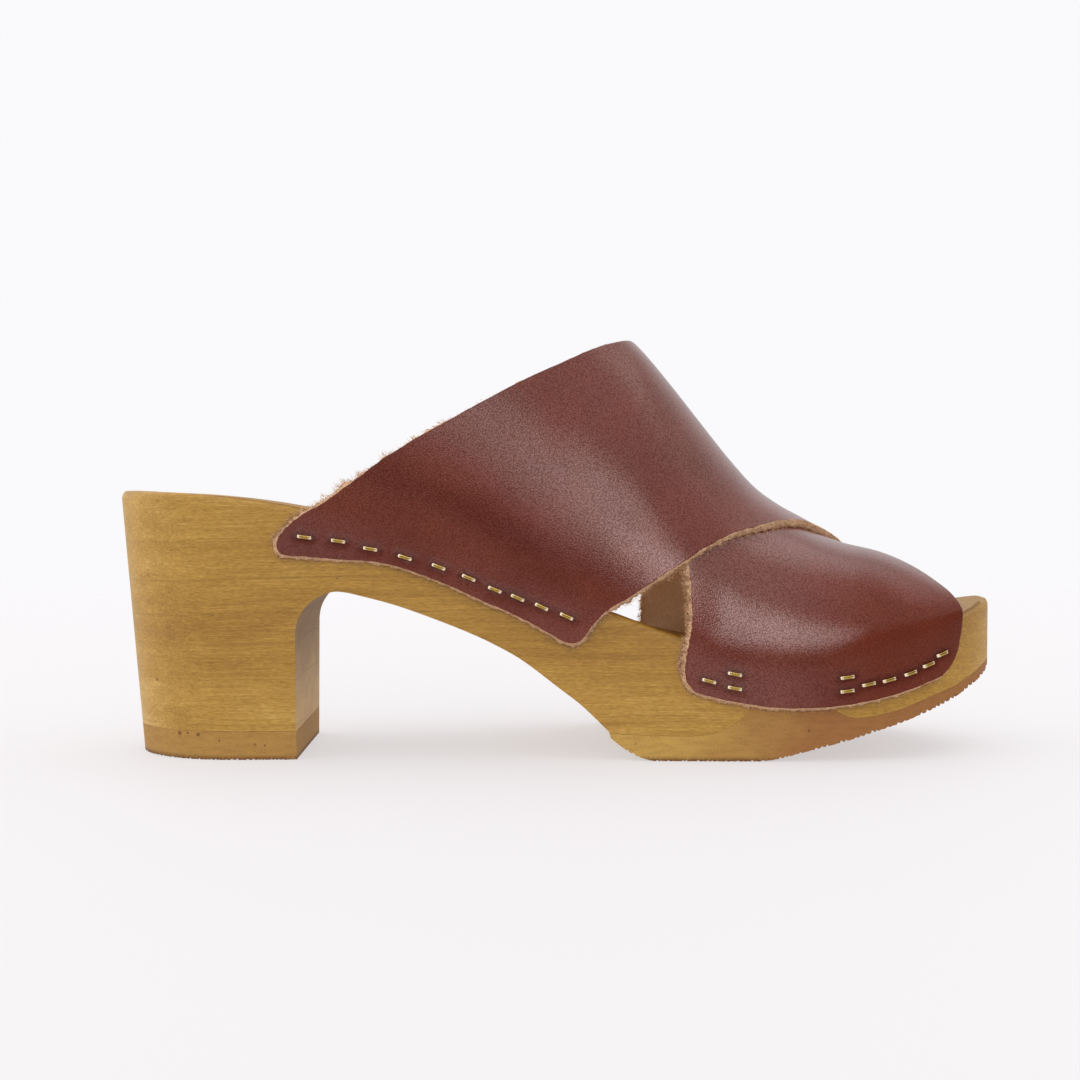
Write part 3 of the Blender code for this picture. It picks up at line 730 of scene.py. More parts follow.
def raw_edge(look):
    """Cut edge of the hide: undyed tan fibre, torn and matt."""
    mat, tree, shader, place = new_material("cowhide_cut_edge")
    torn = add(tree, "TexNoise", {"Vector": place, "Scale": 1 / 0.5, "Detail": 4.0,
                                  "Roughness": 0.7})
    tone = add(tree, "MapRange", (torn, 0.3, 0.68))
    coat(shader, (tone, look.edge_dark, look.edge_light), 0.95, 0.1, (torn, 0.8, 0.4))
    return mat


def brass_wire(look):
    """Drawn brass wire: painted shade along the crown, painted highlight where it bends in."""
    mat, tree, shader, _ = new_material("drawn_brass_wire")
    bend = add(tree, "Attribute", attribute_name="bend").outputs["Fac"]
    colour = add(tree, "Mix", {"Factor": bend, "A": look.brass_painted_shade, "B": look.brass_painted_highlight},
                 data_type="RGBA")
    fill(shader, {"Base Color": colour, "Metallic": 1.0, "Roughness": 0.24})
    return mat


def stage_paper(look):
    """Matt white paper on a lit table, which thins out to nothing far from the shoe."""
    mat, tree, shader, place = new_material("white_paper")
    fill(shader, {"Base Color": look.floor_colour, "Roughness": 0.7, "Specular IOR Level": 0.2,
                        "Emission Color": linear("#FCFAFB"), "Emission Strength": look.paper_glow})
    reach = add(tree, "VectorMath", (place,), "LENGTH")
    fade = add(tree, "MapRange", (reach, 380.0, 1000.0), interpolation_type="SMOOTHSTEP")
    mix = add(tree, "MixShader", (fade, shader, add(tree, "BsdfTransparent")))
    fill(tree.nodes["Material Output"], {"Surface": mix})
    return mat


# Settings.


def colour(label, words, code):
    """Colour property with an sRGB default."""
    return FloatVectorProperty(name=label, description=words, subtype="COLOR", size=4, min=0.0,
                               max=1.0, default=linear(code))


def amount(label, words, value, **more):
    """Number property."""
    return FloatProperty(name=label, description=words, default=value, **more)


METRES = {"unit": "LENGTH", "precision": 5}


class ClogWoodSettings(bpy.types.PropertyGroup):
    """Looks of the wooden sole."""

    stain_light: colour("Light stain", "Stain where it is thin", "#B28737")
    stain_dark: colour("Dark stain", "Stain where it is thick", "#8F6622")
    stain_pale: colour("Pale stain", "Stain on the hardest fibres", "#CCA557")
    stain_deep: colour("Deep stain", "Stain in pores and growth lines", "#6A4718")
    fibre_depth: amount("Fibre depth", "Strength of the streaks", 0.2)
    fleck_depth: amount("Fleck depth", "Strength of short flecks", 0.23)
    pore_depth: amount("Pore depth", "Strength of the pores", 0.2)
    line_depth: amount("Line depth", "Strength of growth lines", 0.38)
    # Darkens the rim, and the breast's end grain together with painted shade under the arch.
    darkening_depth: amount("Soak depth", "Strength of gathered stain", 0.62)
    # Painted highlight: the faces at heel back and toe front are painted paler.
    end_highlight: amount("End grain", "Paleness of sanded end grain", 0.3)
    lacquer: amount("Lacquer", "Gloss of the satin lacquer", 0.4)


class ClogTreadSettings(bpy.types.PropertyGroup):
    """Looks of the rubber treads."""

    lift_colour: colour("Lift colour", "Rubber under the heel", "#AD8341")
    rear_colour: colour("Rear colour", "Rubber behind the ball", "#BD964A")
    toe_colour: colour("Toe colour", "Rubber at the toe", "#9B6837")
    pit_colour: colour("Pit colour", "Rubber in cells and scratches", "#6B431F")
    rib_pitch: amount("Rib pitch", "Spacing of the tread's ribs, in mm", 1.35)
    rib_depth: amount("Rib depth", "Depth of the tread's grooves, in mm", 0.55)
    seed: IntProperty(name="Seed", description="Seed of the tread's unevenness", default=7)


class ClogStrapSettings(bpy.types.PropertyGroup):
    """Looks of the leather straps."""

    thick: amount("Thickness", "Thickness of the leather, in mm", 2.0)
    bevel: amount("Cut slant", "How far the cut edge leans in, in mm", 0.75)
    dye_light: colour("Light dye", "Leather where the dye is thin", "#753728")
    dye_dark: colour("Dark dye", "Leather where the dye is thick", "#662D1F")
    # Deep dye, also the colour of painted shade: in the grain's valleys, round the staples and in
    # the bend.
    dye_deep_and_shade: colour("Deep dye", "Leather between the pebbles", "#401811")
    wax_tint: colour("Wax", "Tint of the waxy gloss", "#FFEBE9")
    grain_mm: amount("Grain", "Width of a grain pebble, in mm", 0.43)
    grain_depth: amount("Grain depth", "Strength of the grain", 0.4)
    gloss: amount("Roughness", "Mean roughness of the grain side", 0.16)
    suede_light: colour("Light suede", "Flesh side, raised nap", "#F0CFAB")
    suede_dark: colour("Dark suede", "Flesh side, flat nap", "#D2AD88")
    edge_light: colour("Light edge", "Cut fibres", "#F0C8A0")
    edge_dark: colour("Dark edge", "Hollows between cut fibres", "#9A6B49")


class ClogFibreSettings(bpy.types.PropertyGroup):
    """Loose fibres on the cut edges."""

    spacing: amount("Spacing", "Distance between fibres, in metres", 0.00005, **METRES)
    length: amount("Length", "Longest fibre, in metres", 0.0012, **METRES)
    width: amount("Width", "Thickness at the root, in metres", 0.00009, **METRES)
    seed: IntProperty(name="Seed", description="Seed of the fibres", default=3)


class ClogStapleSettings(bpy.types.PropertyGroup):
    """Brass staples."""

    crown: amount("Crown", "Length of the crown, in metres", 0.0037, **METRES)
    rise: amount("Rise", "Height of the bent wire, in metres", 0.0016, **METRES)
    wire: amount("Wire", "Width of the wire, in metres", 0.00102, **METRES)
    sink: amount("Sink", "How deep the crown sits in the leather, in mm", 0.15)
    # Painted highlight where the wire bends, painted shade along the crown.
    brass_painted_highlight: colour("Light brass", "Rubbed wire", "#FFEFD0")
    brass_painted_shade: colour("Dark brass", "Dull wire", "#AA8A47")


class ClogStageSettings(bpy.types.PropertyGroup):
    """Floor, light and camera."""

    floor_colour: colour("Floor", "Studio paper", "#949293")
    camera_place: FloatVectorProperty(name="Camera", description="Place of the camera, in metres",
                                      subtype="TRANSLATION",
                                      default=(-0.005596, -0.574608, 0.0835))
    camera_pitch: amount("Pitch", "Tilt of the camera from straight down", math.radians(87.776),
                         subtype="ANGLE")
    lens: amount("Lens", "Focal length, in millimetres", 62.67)
    surround: amount("Surround", "Brightness behind the shoe", 0.75)
    rear_high: amount("Rear high", "Brightness high behind", 1.15)
    front_room: amount("Front room", "Brightness low in front", 0.1)
    front_high: amount("Front high", "Brightness high in front", 1.15)
    left_side: amount("Left side", "Brightness past the heel", 1.35)
    overhead: amount("Overhead", "Brightness overhead", 1.3)
    below: amount("Below", "Brightness past the paper", 0.3)
    paper_glow: amount("Paper glow", "Light passed up by the paper", 0.55)
    backdrop: amount("Backdrop", "Brightness of the seen background", 0.965)


# Wood and rubber.


def wood_ring(x, low):
    """Section of the wood: up the inner side, over the rim and footbed, down the outer side."""
    inner, outer = (float(edge) for edge in sole_edges(x))
    share = min(1.0, (outer - inner) / 24)
    inset = RIM_ROUND * share * (1 - np.cos(np.radians(np.linspace(0, 90, 10))))
    spans = np.linspace(0, 1, 27)[1:-1]
    first, last = inner + inset[-1], outer - inset[-1]
    y = np.concatenate([inner + inset, first + (last - first) * spans, (outer - inset)[::-1]])
    z = footbed(x, y) - rim_drop(x, y)
    return draft(x, np.concatenate([[inner], y, [outer]]), np.concatenate([[low], z, [low]]))


def heel_places(step_degrees):
    """Lengthwise places through the heel, closer together where its back curves."""
    angles = np.radians(np.arange(0, 90.01, step_degrees))
    return list(HEEL_ROUND * (1 - np.cos(angles))) + list(np.linspace(HEEL_ROUND, BREAST_X, 9)[1:])


def toe_places(start, step_degrees):
    """Lengthwise places through the last of the rounded toe."""
    first = math.degrees(math.asin((start - LENGTH + TOE_ROUND) / TOE_ROUND))
    angles = np.radians(np.linspace(first, 90, max(3, int((90 - first) / step_degrees))))
    return list(LENGTH - TOE_ROUND + TOE_ROUND * np.sin(angles))


def build_wood(mat):
    """The carved sole with its heel."""
    rings = [wood_ring(x, LIFT_THICK + BOND) for x in heel_places(2.0)]
    arch, seat = flowing(ARCH, 0.9), flowing(SEAT, 0.9)
    start = int(np.argmax(arch[:, 1] >= BREAST_Z))
    rings += [wood_ring(max(x, BREAST_X), z) for x, z in arch[start:-1]]
    rings += [wood_ring(x, z) for x, z in seat if x < TIP_X]
    rings += [wood_ring(x, height_at(seat, x)) for x in toe_places(TIP_X + 0.3, 1.0)]
    obj = loft("wood_sole_carved", rings, mat)
    # The rim is darker and duller, ahead of the heel's rounded back.
    at = np.array([vertex.co for vertex in obj.data.vertices]) / MM - SHIFT
    darkening = np.zeros(len(at))
    for i, (x, y, z) in enumerate(at):
        if DARK_RIM_X[0] < x < LENGTH - 4 and z > footbed(x, y) - RIM_ROUND - 1:
            darkening[i] = hump(DARK_RIM_REACH, rim_reach(x, y)) * smoothstep(*DARK_RIM_X, x)
    store(obj.data, "darkening", darkening)
    return obj


def tread_ring(x, low, high, columns=7):
    """Section of a rubber tread."""
    inner, outer = (float(edge) for edge in sole_edges(x))
    across = np.linspace(inner, outer, columns)
    y = np.concatenate([across, across[::-1]])
    return draft(x, y, np.repeat([high, low], columns))


def rib_places(start, stop, look, random):
    """Lengthwise places of the ribs' corners and how deep the groove is at each."""
    places = []
    x = start
    while x < stop:
        pitch = look.rib_pitch * random.uniform(0.6, 1.5)
        deep = look.rib_depth * random.uniform(0.0, 1.2)
        worn = 0.3 * deep * random.uniform(0.0, 1.0)
        places += [(x, worn), (x + 0.45 * pitch, 0.0), (x + 0.6 * pitch, deep),
                   (x + 0.88 * pitch, deep)]
        x += pitch
    return [place for place in places if place[0] < stop - 0.05]


def build_lift(mat, look):
    """The rubber top lift under the heel, with fine ribs on its floor face."""
    random = np.random.default_rng(look.seed)
    ribs = rib_places(1.2, BREAST_X - 0.4, look, random)
    groove = np.array([(0.0, 0.0)] + ribs + [(BREAST_X, 0.0)])
    xs = sorted(set(heel_places(5.0)) | {x for x, _ in ribs})
    rings = [tread_ring(x, 0.7 * height_at(groove, x), LIFT_THICK) for x in xs]
    return loft("heel_lift_rubber", rings, mat)


def build_outsole(mat, look):
    """The rubber forefoot tread: ribs below, the wood's seat and flex hollow above."""
    random = np.random.default_rng(look.seed + 1)
    seat = flowing(SEAT, 0.8)
    floor = np.vstack([flowing(FLOOR[:FLAT_START], 0.5), flowing(FLOOR[FLAT_START:], 0.8)])
    ribs = rib_places(TREAD_X + 4.0, LENGTH - 0.6, look, random)
    groove = np.array([(TREAD_X, 0.0)] + ribs + [(LENGTH, 0.0)])
    xs = sorted({TREAD_X, TREAD_X + 2.0} | {x for x, _ in ribs} | set(toe_places(256.0, 3.0)))
    xs = [x for i, x in enumerate(xs) if i == 0 or x - xs[i - 1] > 0.02]
    rings = []
    for x in xs:
        high = height_at(seat, x) - BOND
        deep = height_at(groove, x) * (0.6 + 0.8 * float(smoothstep(190, 230, x)))
        rings.append(tread_ring(x, min(height_at(floor, x) + deep, high - 0.3), high))
    return loft("forefoot_tread_rubber", rings, mat)


# Leather.


def border(grid):
    """Points round the rim of a grid, as one loop."""
    return np.concatenate([grid[0, :-1], grid[:-1, -1], grid[-1, :0:-1], grid[:0:-1, 0]])


def grid_faces(number):
    """Quads of a grid of point numbers, as rows of four."""
    quads = np.stack([number[:-1, :-1], number[:-1, 1:], number[1:, 1:], number[1:, :-1]], -1)
    return quads.reshape(-1, 4)


def dimples(points, spots):
    """How deep the staples dent the leather at each point, up to 1."""
    depth = np.zeros(points.shape[:-1])
    for _, middle, along, normal in spots:
        away = points - middle
        near = np.linalg.norm(away, axis=-1) < 9.0
        past = np.maximum(np.abs(away[near] @ along) - 2.0, 0.0)
        gap = np.sqrt(past ** 2 + (away[near] @ np.cross(normal, along)) ** 2)
        depth[near] += np.exp(-(gap / 1.5) ** 2)
    return depth


def waxed(side, x, t):
    """How much gloss is left on a strap: worn thin above the over strap's rim and at the toe."""
    girth = np.abs(t)
    flat = smoothstep(0.745, 0.78, girth)
    if side == "under":
        return 1.5 - 1.1 * smoothstep(186, 222, x) - 0.15 * flat
    worn = ((x - WORN_X) / 42) ** 2 + ((girth - 0.7) / np.where(girth < 0.7, 0.085, 0.045)) ** 2
    front = smoothstep(136, 150, x) * smoothstep(0.57, 0.62, girth)
    return (1.18 - 0.28 * smoothstep(0.3, 0.55, girth) - 0.65 * np.exp(-worn) + 0.25 * flat
            + 0.45 * front)


def bend_shade(side, x, t):
    """Painted shade in the over strap's bend above the rim."""
    if side == "under":
        return np.zeros_like(x)
    return 0.6 * np.exp(-((x - WORN_X) / 50) ** 2 - ((np.abs(t) - 0.713) / 0.032) ** 2)


def eased(points, t, passes):
    """Grid of a strap with its bend over the rim made softer."""
    points = points.copy()
    share = hump(EASE_GIRTH, np.abs(t))
    for _ in range(passes):
        middle = (points[:-2] + 2 * points[1:-1] + points[2:]) / 4
        points[1:-1] += share[1:-1, :, None] * (middle - points[1:-1])
    return points


def frayed(side, x, t):
    """How frayed a strap's rim is: most at the collar and across the foot, least on the crest."""
    girth, along = np.abs(border(t)), border(np.linspace(0, 1, x.shape[1])[None, :] + 0 * x)
    crest = along == (0 if side == "over" else 1)
    fray = 0.65 + 0.3 * (1 - smoothstep(0.8, 0.95, girth))
    fray += 0.5 * (along == 0) * smoothstep(0.45, 0.6, girth)
    return fray - 0.75 * crest * (1 - smoothstep(0.45, 0.7, girth))


def build_strap(side, look, materials, spots, random):
    """One strap with grain side, raw edge and flesh side; also its edge line for the fibres."""
    flesh_x, flesh_t = strap_place(side, 0.0)
    grain_x, grain_t = strap_place(side, look.bevel)
    sheets = []
    for x, t, thick in ((flesh_x, flesh_t, 0.0), (grain_x, grain_t, look.thick)):
        rise = lap(x, t, look.thick + LAP_GAP) if side == "over" else np.zeros_like(x)
        normal = last_normal(x, t)
        sheet = last_point(x, t) + normal * (rise + thick)[..., None]
        sheets.append(eased(sheet, t, EASE_PASSES[side]))
    flesh, grain = sheets
    dent_and_shade = dimples(last_point(grain_x, grain_t), spots)
    grain = grain - normal * DENT * dent_and_shade[..., None]
    flesh_rim, grain_rim, rim_normal = border(flesh), border(grain), border(normal)
    out = unit(flesh_rim - grain_rim)
    run = np.roll(grain_rim, -1, axis=0) - np.roll(grain_rim, 1, axis=0)
    away = unit(np.cross(run, rim_normal))
    fray = frayed(side, flesh_x, flesh_t)
    count = len(flesh_rim)
    wobble = random.normal(0.0, 0.27, count) * fray
    nick = random.normal(0.0, 0.05, count) * fray
    flesh_rim = flesh_rim + away * (wobble + 0.5 * np.roll(wobble, 1))[:, None]
    grain_rim = grain_rim + away * (nick + np.roll(nick, 1) + 0.5 * np.roll(nick, 2))[:, None]
    walls = []
    for u in np.arange(1, WALL_STEPS) / WALL_STEPS:
        ring = grain_rim * (1 - u) + flesh_rim * u
        swell = rim_normal * (0.16 * math.sin(math.pi * u))
        walls.append(ring + swell + away * random.normal(0.0, 0.2, count)[:, None])
    # Points: grain sheet, flesh sheet with its worn rim, then the rings of the cut edge.
    number = np.arange(dent_and_shade.size).reshape(dent_and_shade.shape)
    loop = border(number)
    flats = []
    for sheet, rim in ((grain, grain_rim), (flesh, flesh_rim)):
        flats.append(sheet.reshape(-1, 3).copy())
        flats[-1][loop] = rim
    points = np.concatenate(flats + walls)
    rings = np.arange(2 * dent_and_shade.size, len(points)).reshape(-1, count)
    chain = [loop, *rings, dent_and_shade.size + loop]
    faces = [grid_faces(number), grid_faces(dent_and_shade.size + number)[:, ::-1]]
    faces += [np.stack([one, two, np.roll(two, -1), np.roll(one, -1)], -1)
              for one, two in zip(chain, chain[1:])]
    slots = np.repeat([0, 1] + [2] * WALL_STEPS, [len(part) for part in faces])
    mesh = bpy.data.meshes.new(f"strap_{side}")
    mesh.from_pydata(to_frame(points).tolist(), [], np.concatenate(faces).tolist())
    mesh.polygons.foreach_set("material_index", slots.astype(np.int32))
    for mat in materials:
        mesh.materials.append(mat)
    mesh.shade_smooth()
    bm = bmesh.new()
    bm.from_mesh(mesh)
    outward(bm)
    bm.to_mesh(mesh)
    bm.free()
    # Painted shadow round the staples and painted shade in the bend above the rim.
    painted_shade = dent_and_shade + bend_shade(side, grain_x, grain_t)
    for name, values in (("wax", waxed(side, grain_x, grain_t)), ("dent_and_shade", painted_shade)):
        store(mesh, name, np.resize(values.ravel(), len(points)))
    edge_line = grain_rim * 0.15 + flesh_rim * 0.85
    return linked(f"strap_{side}", mesh), edge_line, unit(out + 0.35 * rim_normal), fray


# Geometry trees.


def geometry_tree(name, **sockets):
    """Geometry tree; with it its inputs, its end node and the named inputs' identifiers."""
    tree = bpy.data.node_groups.new(name, "GeometryNodeTree")
    new_socket = tree.interface.new_socket
    new_socket("Geometry", in_out="INPUT", socket_type="NodeSocketGeometry")
    named = {label: new_socket(label, in_out="INPUT", socket_type="NodeSocket" + kind).identifier
             for label, kind in sockets.items()}
    new_socket("Geometry", in_out="OUTPUT", socket_type="NodeSocketGeometry")
    return tree, add(tree, "NodeGroupInput").outputs, add(tree, "NodeGroupOutput"), named


def close_tree(tree, end, planted, material):
    """Last nodes of a geometry tree: its instances become one mesh of one material."""
    real = add(tree, "GeometryNodeRealizeInstances", {"Geometry": planted})
    done = add(tree, "GeometryNodeSetMaterial", {"Geometry": real, "Material": material})
    fill(end, {"Geometry": done})


def fibre_tree():
    """Geometry tree that plants tapered, curled fibres along the cut edge."""
    tree, took, end, named = geometry_tree("cut_edge_fibres", Spacing="Float", Length="Float",
                                           Width="Float", Seed="Int", Material="Material")
    cone = add(tree, "GeometryNodeMeshCone", {"Vertices": 3, "Side Segments": 2, "Radius Top": 0.0,
                                              "Radius Bottom": took["Width"],
                                              "Depth": took["Length"]})
    up = add(tree, "SeparateXYZ", (add(tree, "GeometryNodeInputPosition"),)).outputs["Z"]
    square = add(tree, "Math", (up, up), "MULTIPLY")
    curl = add(tree, "Math", (square, took["Length"]), "DIVIDE")
    curl = add(tree, "Math", (curl, 0.5), "MULTIPLY")
    offset = add(tree, "CombineXYZ", {"X": curl})
    bent = add(tree, "GeometryNodeSetPosition", {"Geometry": cone, "Offset": offset})
    line = add(tree, "GeometryNodeMeshToCurve", {"Mesh": took["Geometry"]})
    roots = add(tree, "GeometryNodeCurveToPoints", {"Curve": line, "Length": took["Spacing"]},
                mode="LENGTH")
    # How far a fibre strays from the edge's own direction, and its root from the edge line.
    stray, shift = (add(tree, "FunctionNodeRandomValue", {0: (-most,) * 3, 1: (most,) * 3,
                                                          "Seed": took["Seed"]},
                        data_type="FLOAT_VECTOR") for most in (0.9, 0.0006))
    # Turn about its own axis, and size.
    spin, size = (add(tree, "FunctionNodeRandomValue", {2: least, 3: most, "Seed": took["Seed"]})
                  for least, most in ((0.0, 6.283), (0.2, 1.0)))
    out = add(tree, "GeometryNodeInputNamedAttribute", {"Name": "out"}, data_type="FLOAT_VECTOR")
    aim = add(tree, "VectorMath", (out, stray))
    turn = add(tree, "FunctionNodeAlignRotationToVector", {"Vector": aim}, axis="Z")
    about = add(tree, "FunctionNodeAxisAngleToRotation", {"Axis": (0.0, 0.0, 1.0), "Angle": spin})
    whole = add(tree, "FunctionNodeRotateRotation", {"Rotation": turn, "Rotate By": about},
                rotation_space="LOCAL")
    spread = add(tree, "GeometryNodeSetPosition", {"Geometry": roots, "Offset": shift})
    # Tufts a few millimetres long, where the knife tore rather than cut.
    tuft = add(tree, "TexNoise", {"Scale": 330.0, "Detail": 2.0})
    tuft = add(tree, "MapRange", (tuft, 0.36, 0.66, 0.6, 1.1))
    worn = add(tree, "GeometryNodeInputNamedAttribute", {"Name": "fray"}, data_type="FLOAT")
    tuft = add(tree, "Math", (tuft, worn), "MULTIPLY")
    size = add(tree, "Math", (size, tuft), "MULTIPLY")
    planted = add(tree, "GeometryNodeInstanceOnPoints", {"Points": spread, "Instance": bent,
                                                         "Rotation": whole, "Scale": size})
    close_tree(tree, end, planted, took["Material"])
    return tree, named


def staple_tree():
    """Geometry tree that bends a wire staple and sets one on every point."""
    tree, took, end, named = geometry_tree("wire_staples", Crown="Float", Rise="Float",
                                           Wire="Float", Material="Material")
    line = add(tree, "GeometryNodeCurvePrimitiveLine")
    line = add(tree, "GeometryNodeResampleCurve", {"Curve": line, "Count": 25})
    along = add(tree, "GeometryNodeSplineParameter")
    angle = add(tree, "Math", (along, math.pi), "MULTIPLY")
    # A staple's bow is half a very square ellipse: straight legs, round shoulders, flat crown.
    sizes, axes = [], []
    for wave, reach in (("COSINE", took["Crown"]), ("SINE", took["Rise"])):
        value = add(tree, "Math", (angle,), wave)
        sizes.append(add(tree, "Math", (value,), "ABSOLUTE"))
        square = add(tree, "Math", (sizes[-1], 0.34), "POWER")
        sign = add(tree, "Math", (value,), "SIGN")
        signed = add(tree, "Math", (square, sign), "MULTIPLY")
        axes.append(add(tree, "Math", (signed, reach), "MULTIPLY"))
    half = add(tree, "Math", (axes[0], 0.5), "MULTIPLY")
    spot = add(tree, "CombineXYZ", {"X": half, "Z": axes[1]})
    bow = add(tree, "GeometryNodeSetPosition", {"Geometry": line, "Position": spot})
    # Where the wire bends: there the brass takes its painted highlight.
    bend = add(tree, "MapRange", (sizes[0], 0.47, 0.76))
    bow = add(tree, "GeometryNodeStoreNamedAttribute", {"Geometry": bow, "Name": "bend",
                                                        "Value": bend}, data_type="FLOAT")
    thin, corner = (add(tree, "Math", (took["Wire"], share), "MULTIPLY")
                    for share in (0.7, 0.22))
    ring = add(tree, "GeometryNodeCurvePrimitiveQuadrilateral", {"Width": took["Wire"],
                                                                 "Height": thin})
    ring = add(tree, "GeometryNodeFilletCurve", {"Curve": ring, "Radius": corner, "Count": 3},
               mode="POLY")
    wire = add(tree, "GeometryNodeCurveToMesh", {"Curve": bow, "Profile Curve": ring,
                                                 "Fill Caps": True})
    soft = add(tree, "GeometryNodeSetShadeSmooth", {"Geometry": wire})
    turn = add(tree, "GeometryNodeInputNamedAttribute", {"Name": "turn"}, data_type="FLOAT_VECTOR")
    facing = add(tree, "FunctionNodeEulerToRotation", {"Euler": turn})
    placed = add(tree, "GeometryNodeInstanceOnPoints", {"Points": took["Geometry"],
                                                        "Instance": soft, "Rotation": facing})
    close_tree(tree, end, placed, took["Material"])
    return tree, named


# Light.


def soft_light(tree, view, light):
    """Brightness of one round soft light, by the direction looked in."""
    turn, lift = math.radians(light.bearing), math.radians(light.height)
    ahead = (math.sin(turn) * math.cos(lift), -math.cos(turn) * math.cos(lift), math.sin(lift))
    aside = (math.cos(turn), math.sin(turn), 0.0)
    above = (-math.sin(turn) * math.sin(lift), math.cos(turn) * math.sin(lift), math.cos(lift))
    across = []
    for axis, half in ((aside, light.half_wide), (above, light.half_high)):
        scaled = tuple(part / math.tan(math.radians(half)) for part in axis)
        across.append(add(tree, "VectorMath", (view, scaled), "DOT_PRODUCT"))
    facing = add(tree, "VectorMath", (view, ahead), "DOT_PRODUCT")
    facing = add(tree, "Math", (facing, 0.001), "MAXIMUM")
    away = add(tree, "VectorMath", (add(tree, "CombineXYZ", across),), "LENGTH")
    away = add(tree, "Math", (away, facing), "DIVIDE")
    return add(tree, "MapRange", (away, 1.4, 0.6, 0.0, light.power),
               interpolation_type="SMOOTHSTEP")


def light_room(look):
    """White studio: bright behind and overhead, dim low in front, with a few soft lights."""
    world = bpy.data.worlds.new("soft_studio")
    bpy.context.scene.world = world
    world.use_nodes = True
    tree = world.node_tree
    view = add(tree, "TexCoord").outputs["Generated"]
    right, back, up = add(tree, "SeparateXYZ", (view,)).outputs
    room, rear = (add(tree, "MapRange", (up, *span), interpolation_type="SMOOTHSTEP") for span in (
        (0.2, 0.46, look.front_room, look.front_high), (0.15, 0.5, look.surround, look.rear_high)))
    # Each further side of the room takes over between two values of its own axis.
    for *span, level in ((back, -0.3, 0.4, rear), (right, -0.35, -0.8, look.left_side),
                         (up, 0.75, 0.97, look.overhead), (up, 0.0, -0.12, look.below)):
        share = add(tree, "MapRange", span, interpolation_type="SMOOTHSTEP")
        room = add(tree, "Mix", {"Factor": share, "A": room, "B": level})
    for light in LIGHTS:
        room = add(tree, "Math", (room, soft_light(tree, view, light)))
    seen = add(tree, "LightPath").outputs["Is Camera Ray"]
    shine = add(tree, "Mix", {"Factor": seen, "A": room, "B": look.backdrop})
    fill(tree.nodes["Background"], {"Color": linear("#FEFDFF"), "Strength": shine})


# Operators.


class CLOG_OT_wood_sole(bpy.types.Operator):
    """Carve the stained wooden sole"""

    bl_idname = "clog.wood_sole"
    bl_label = "Wooden sole"

    def execute(self, context):
        settle(build_wood(stained_wood(context.scene.clog_wood)), "stained_wood", "wood_sole")
        return {"FINISHED"}


class CLOG_OT_treads(bpy.types.Operator):
    """Mould the rubber heel lift and forefoot tread"""

    bl_idname = "clog.treads"
    bl_label = "Rubber treads"

    def execute(self, context):
        look = context.scene.clog_tread
        rubber = tread_rubber(look)
        settle(build_lift(rubber, look), "tan_rubber", "heel_top_lift")
        settle(build_outsole(rubber, look), "tan_rubber", "forefoot_outsole")
        return {"FINISHED"}


class CLOG_OT_straps(bpy.types.Operator):
    """Cut and lay the crossed leather straps, with the loose fibres of their raw edges"""

    bl_idname = "clog.straps"
    bl_label = "Leather straps"

    def execute(self, context):
        look, fuzz = context.scene.clog_strap, context.scene.clog_fibre
        random = np.random.default_rng(fuzz.seed)
        materials = [strap_leather(look), flesh_suede(look), raw_edge(look)]
        tree, named = fibre_tree()
        hair = {"Spacing": fuzz.spacing, "Length": fuzz.length, "Width": fuzz.width,
                "Seed": fuzz.seed, "Material": materials[2]}
        spots = staple_spots()
        for side in ("over", "under"):
            strap, edge, out, fray = build_strap(side, look, materials, spots, random)
            settle(strap, "oxblood_leather", "upper")
            loop = [(i, (i + 1) % len(edge)) for i in range(len(edge))]
            fibres = grow(f"edge_fibres_{side}", edge, loop, {"out": out, "fray": fray}, tree,
                          named, hair)
            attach(fibres, "root")
        return {"FINISHED"}


class CLOG_OT_staples(bpy.types.Operator):
    """Drive the brass staples along the strap ends"""

    bl_idname = "clog.staples"
    bl_label = "Brass staples"

    def execute(self, context):
        look, thick = context.scene.clog_staple, context.scene.clog_strap.thick
        tree, named = staple_tree()
        spots = staple_spots()
        base = thick - look.sink - look.rise / MM + look.wire / MM * 0.4
        points, turns = [], []
        for _, middle, along, normal in spots:
            axes = Matrix((along, np.cross(normal, along), normal)).transposed()
            points.append(middle + normal * base)
            turns.append(tuple(axes.to_euler()))
        obj = grow("brass_staples", points, [], {"turn": turns}, tree, named,
                   {"Crown": look.crown, "Rise": look.rise, "Wire": look.wire,
                    "Material": brass_wire(look)})
        settle(obj, "brass", *[spot[0] for spot in spots])
        return {"FINISHED"}


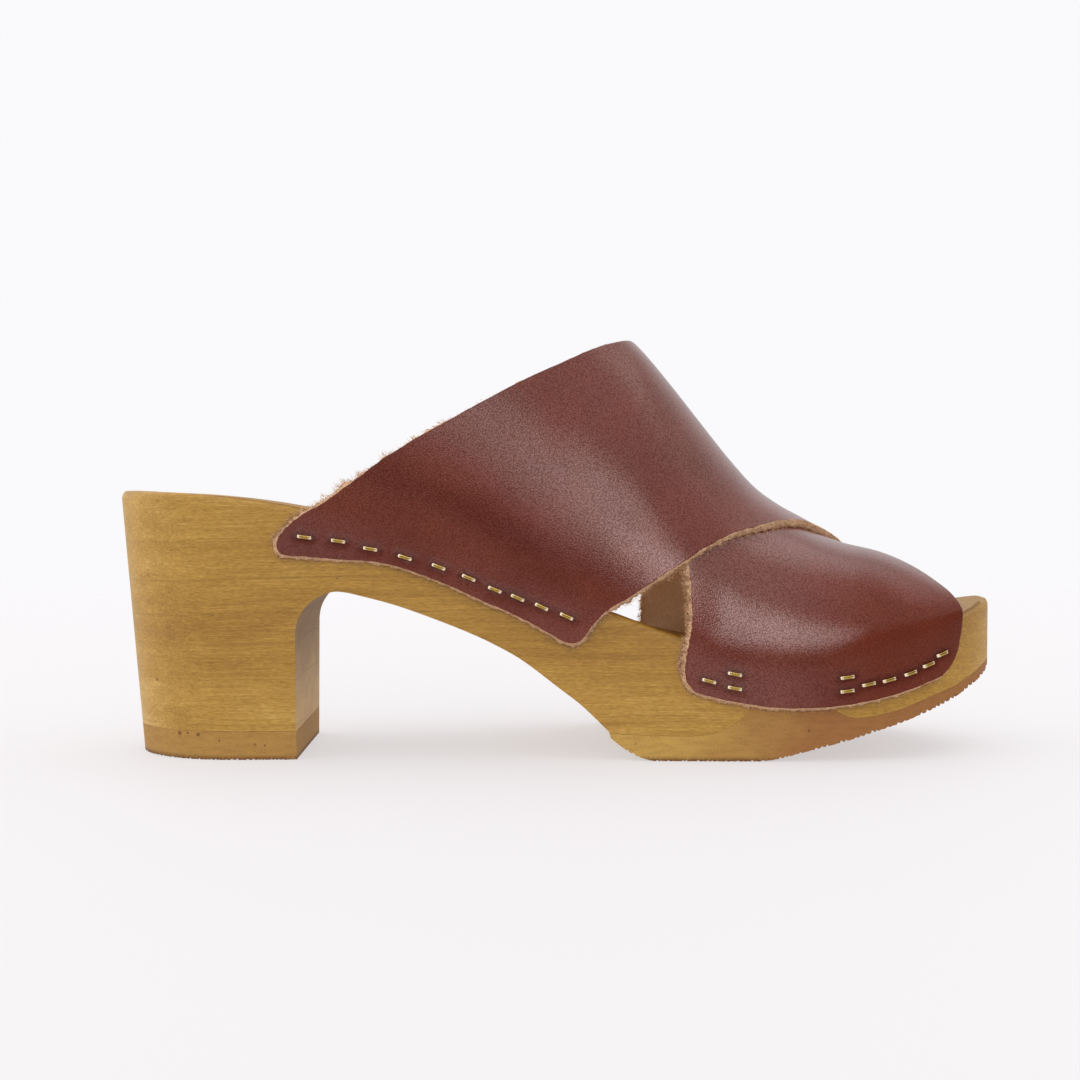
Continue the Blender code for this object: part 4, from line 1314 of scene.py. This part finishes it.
class CLOG_OT_stage(bpy.types.Operator):
    """Lay the studio paper, light the room and set the camera"""

    bl_idname = "clog.stage"
    bl_label = "Stage"

    def execute(self, context):
        look = context.scene.clog_stage
        bm = bmesh.new()
        bmesh.ops.create_circle(bm, cap_ends=True, segments=96, radius=2.2)
        mesh = bpy.data.meshes.new("studio_paper")
        bm.to_mesh(mesh)
        bm.free()
        mesh.materials.append(stage_paper(look))
        paper = linked("studio_paper", mesh)
        light_room(look)
        lens = bpy.data.cameras.new("photo_camera")
        lens.lens = look.lens
        lens.sensor_width = 36.0
        camera = linked("photo_camera", lens)
        camera.location = look.camera_place
        camera.rotation_euler = (look.camera_pitch, 0.0, 0.0)
        context.scene.camera = camera
        context.scene.view_settings.view_transform = "Standard"
        return {"FINISHED"}


class CLOG_PT_panel(bpy.types.Panel):
    """Lists the pieces of the clog"""

    bl_label = "Clog mule"
    bl_space_type = "VIEW_3D"
    bl_region_type = "UI"
    bl_category = "Clog"

    def draw(self, context):
        for operator in OPERATORS:
            self.layout.operator(operator.bl_idname)
        for name in SETTINGS:
            group = getattr(context.scene, name)
            box = self.layout.box()
            for key in group.__annotations__:
                box.prop(group, key)


SETTINGS = {
    "clog_wood": ClogWoodSettings,
    "clog_tread": ClogTreadSettings,
    "clog_strap": ClogStrapSettings,
    "clog_fibre": ClogFibreSettings,
    "clog_staple": ClogStapleSettings,
    "clog_stage": ClogStageSettings,
}
OPERATORS = (CLOG_OT_stage, CLOG_OT_wood_sole, CLOG_OT_treads, CLOG_OT_straps, CLOG_OT_staples)


def register():
    """Make the settings, operators and panel known to Blender."""
    for name, group in SETTINGS.items():
        bpy.utils.register_class(group)
        setattr(bpy.types.Scene, name, PointerProperty(type=group))
    for operator in OPERATORS:
        bpy.utils.register_class(operator)
    bpy.utils.register_class(CLOG_PT_panel)


def unregister():
    """Take them away again."""
    bpy.utils.unregister_class(CLOG_PT_panel)
    for operator in reversed(OPERATORS):
        bpy.utils.unregister_class(operator)
    for name, group in SETTINGS.items():
        delattr(bpy.types.Scene, name)
        bpy.utils.unregister_class(group)


def main():
    """Build the dressed shoe and its stage."""
    register()
    for operator in OPERATORS:
        group, name = operator.bl_idname.split(".")
        getattr(getattr(bpy.ops, group), name)()


if __name__ == "__main__":
    main()
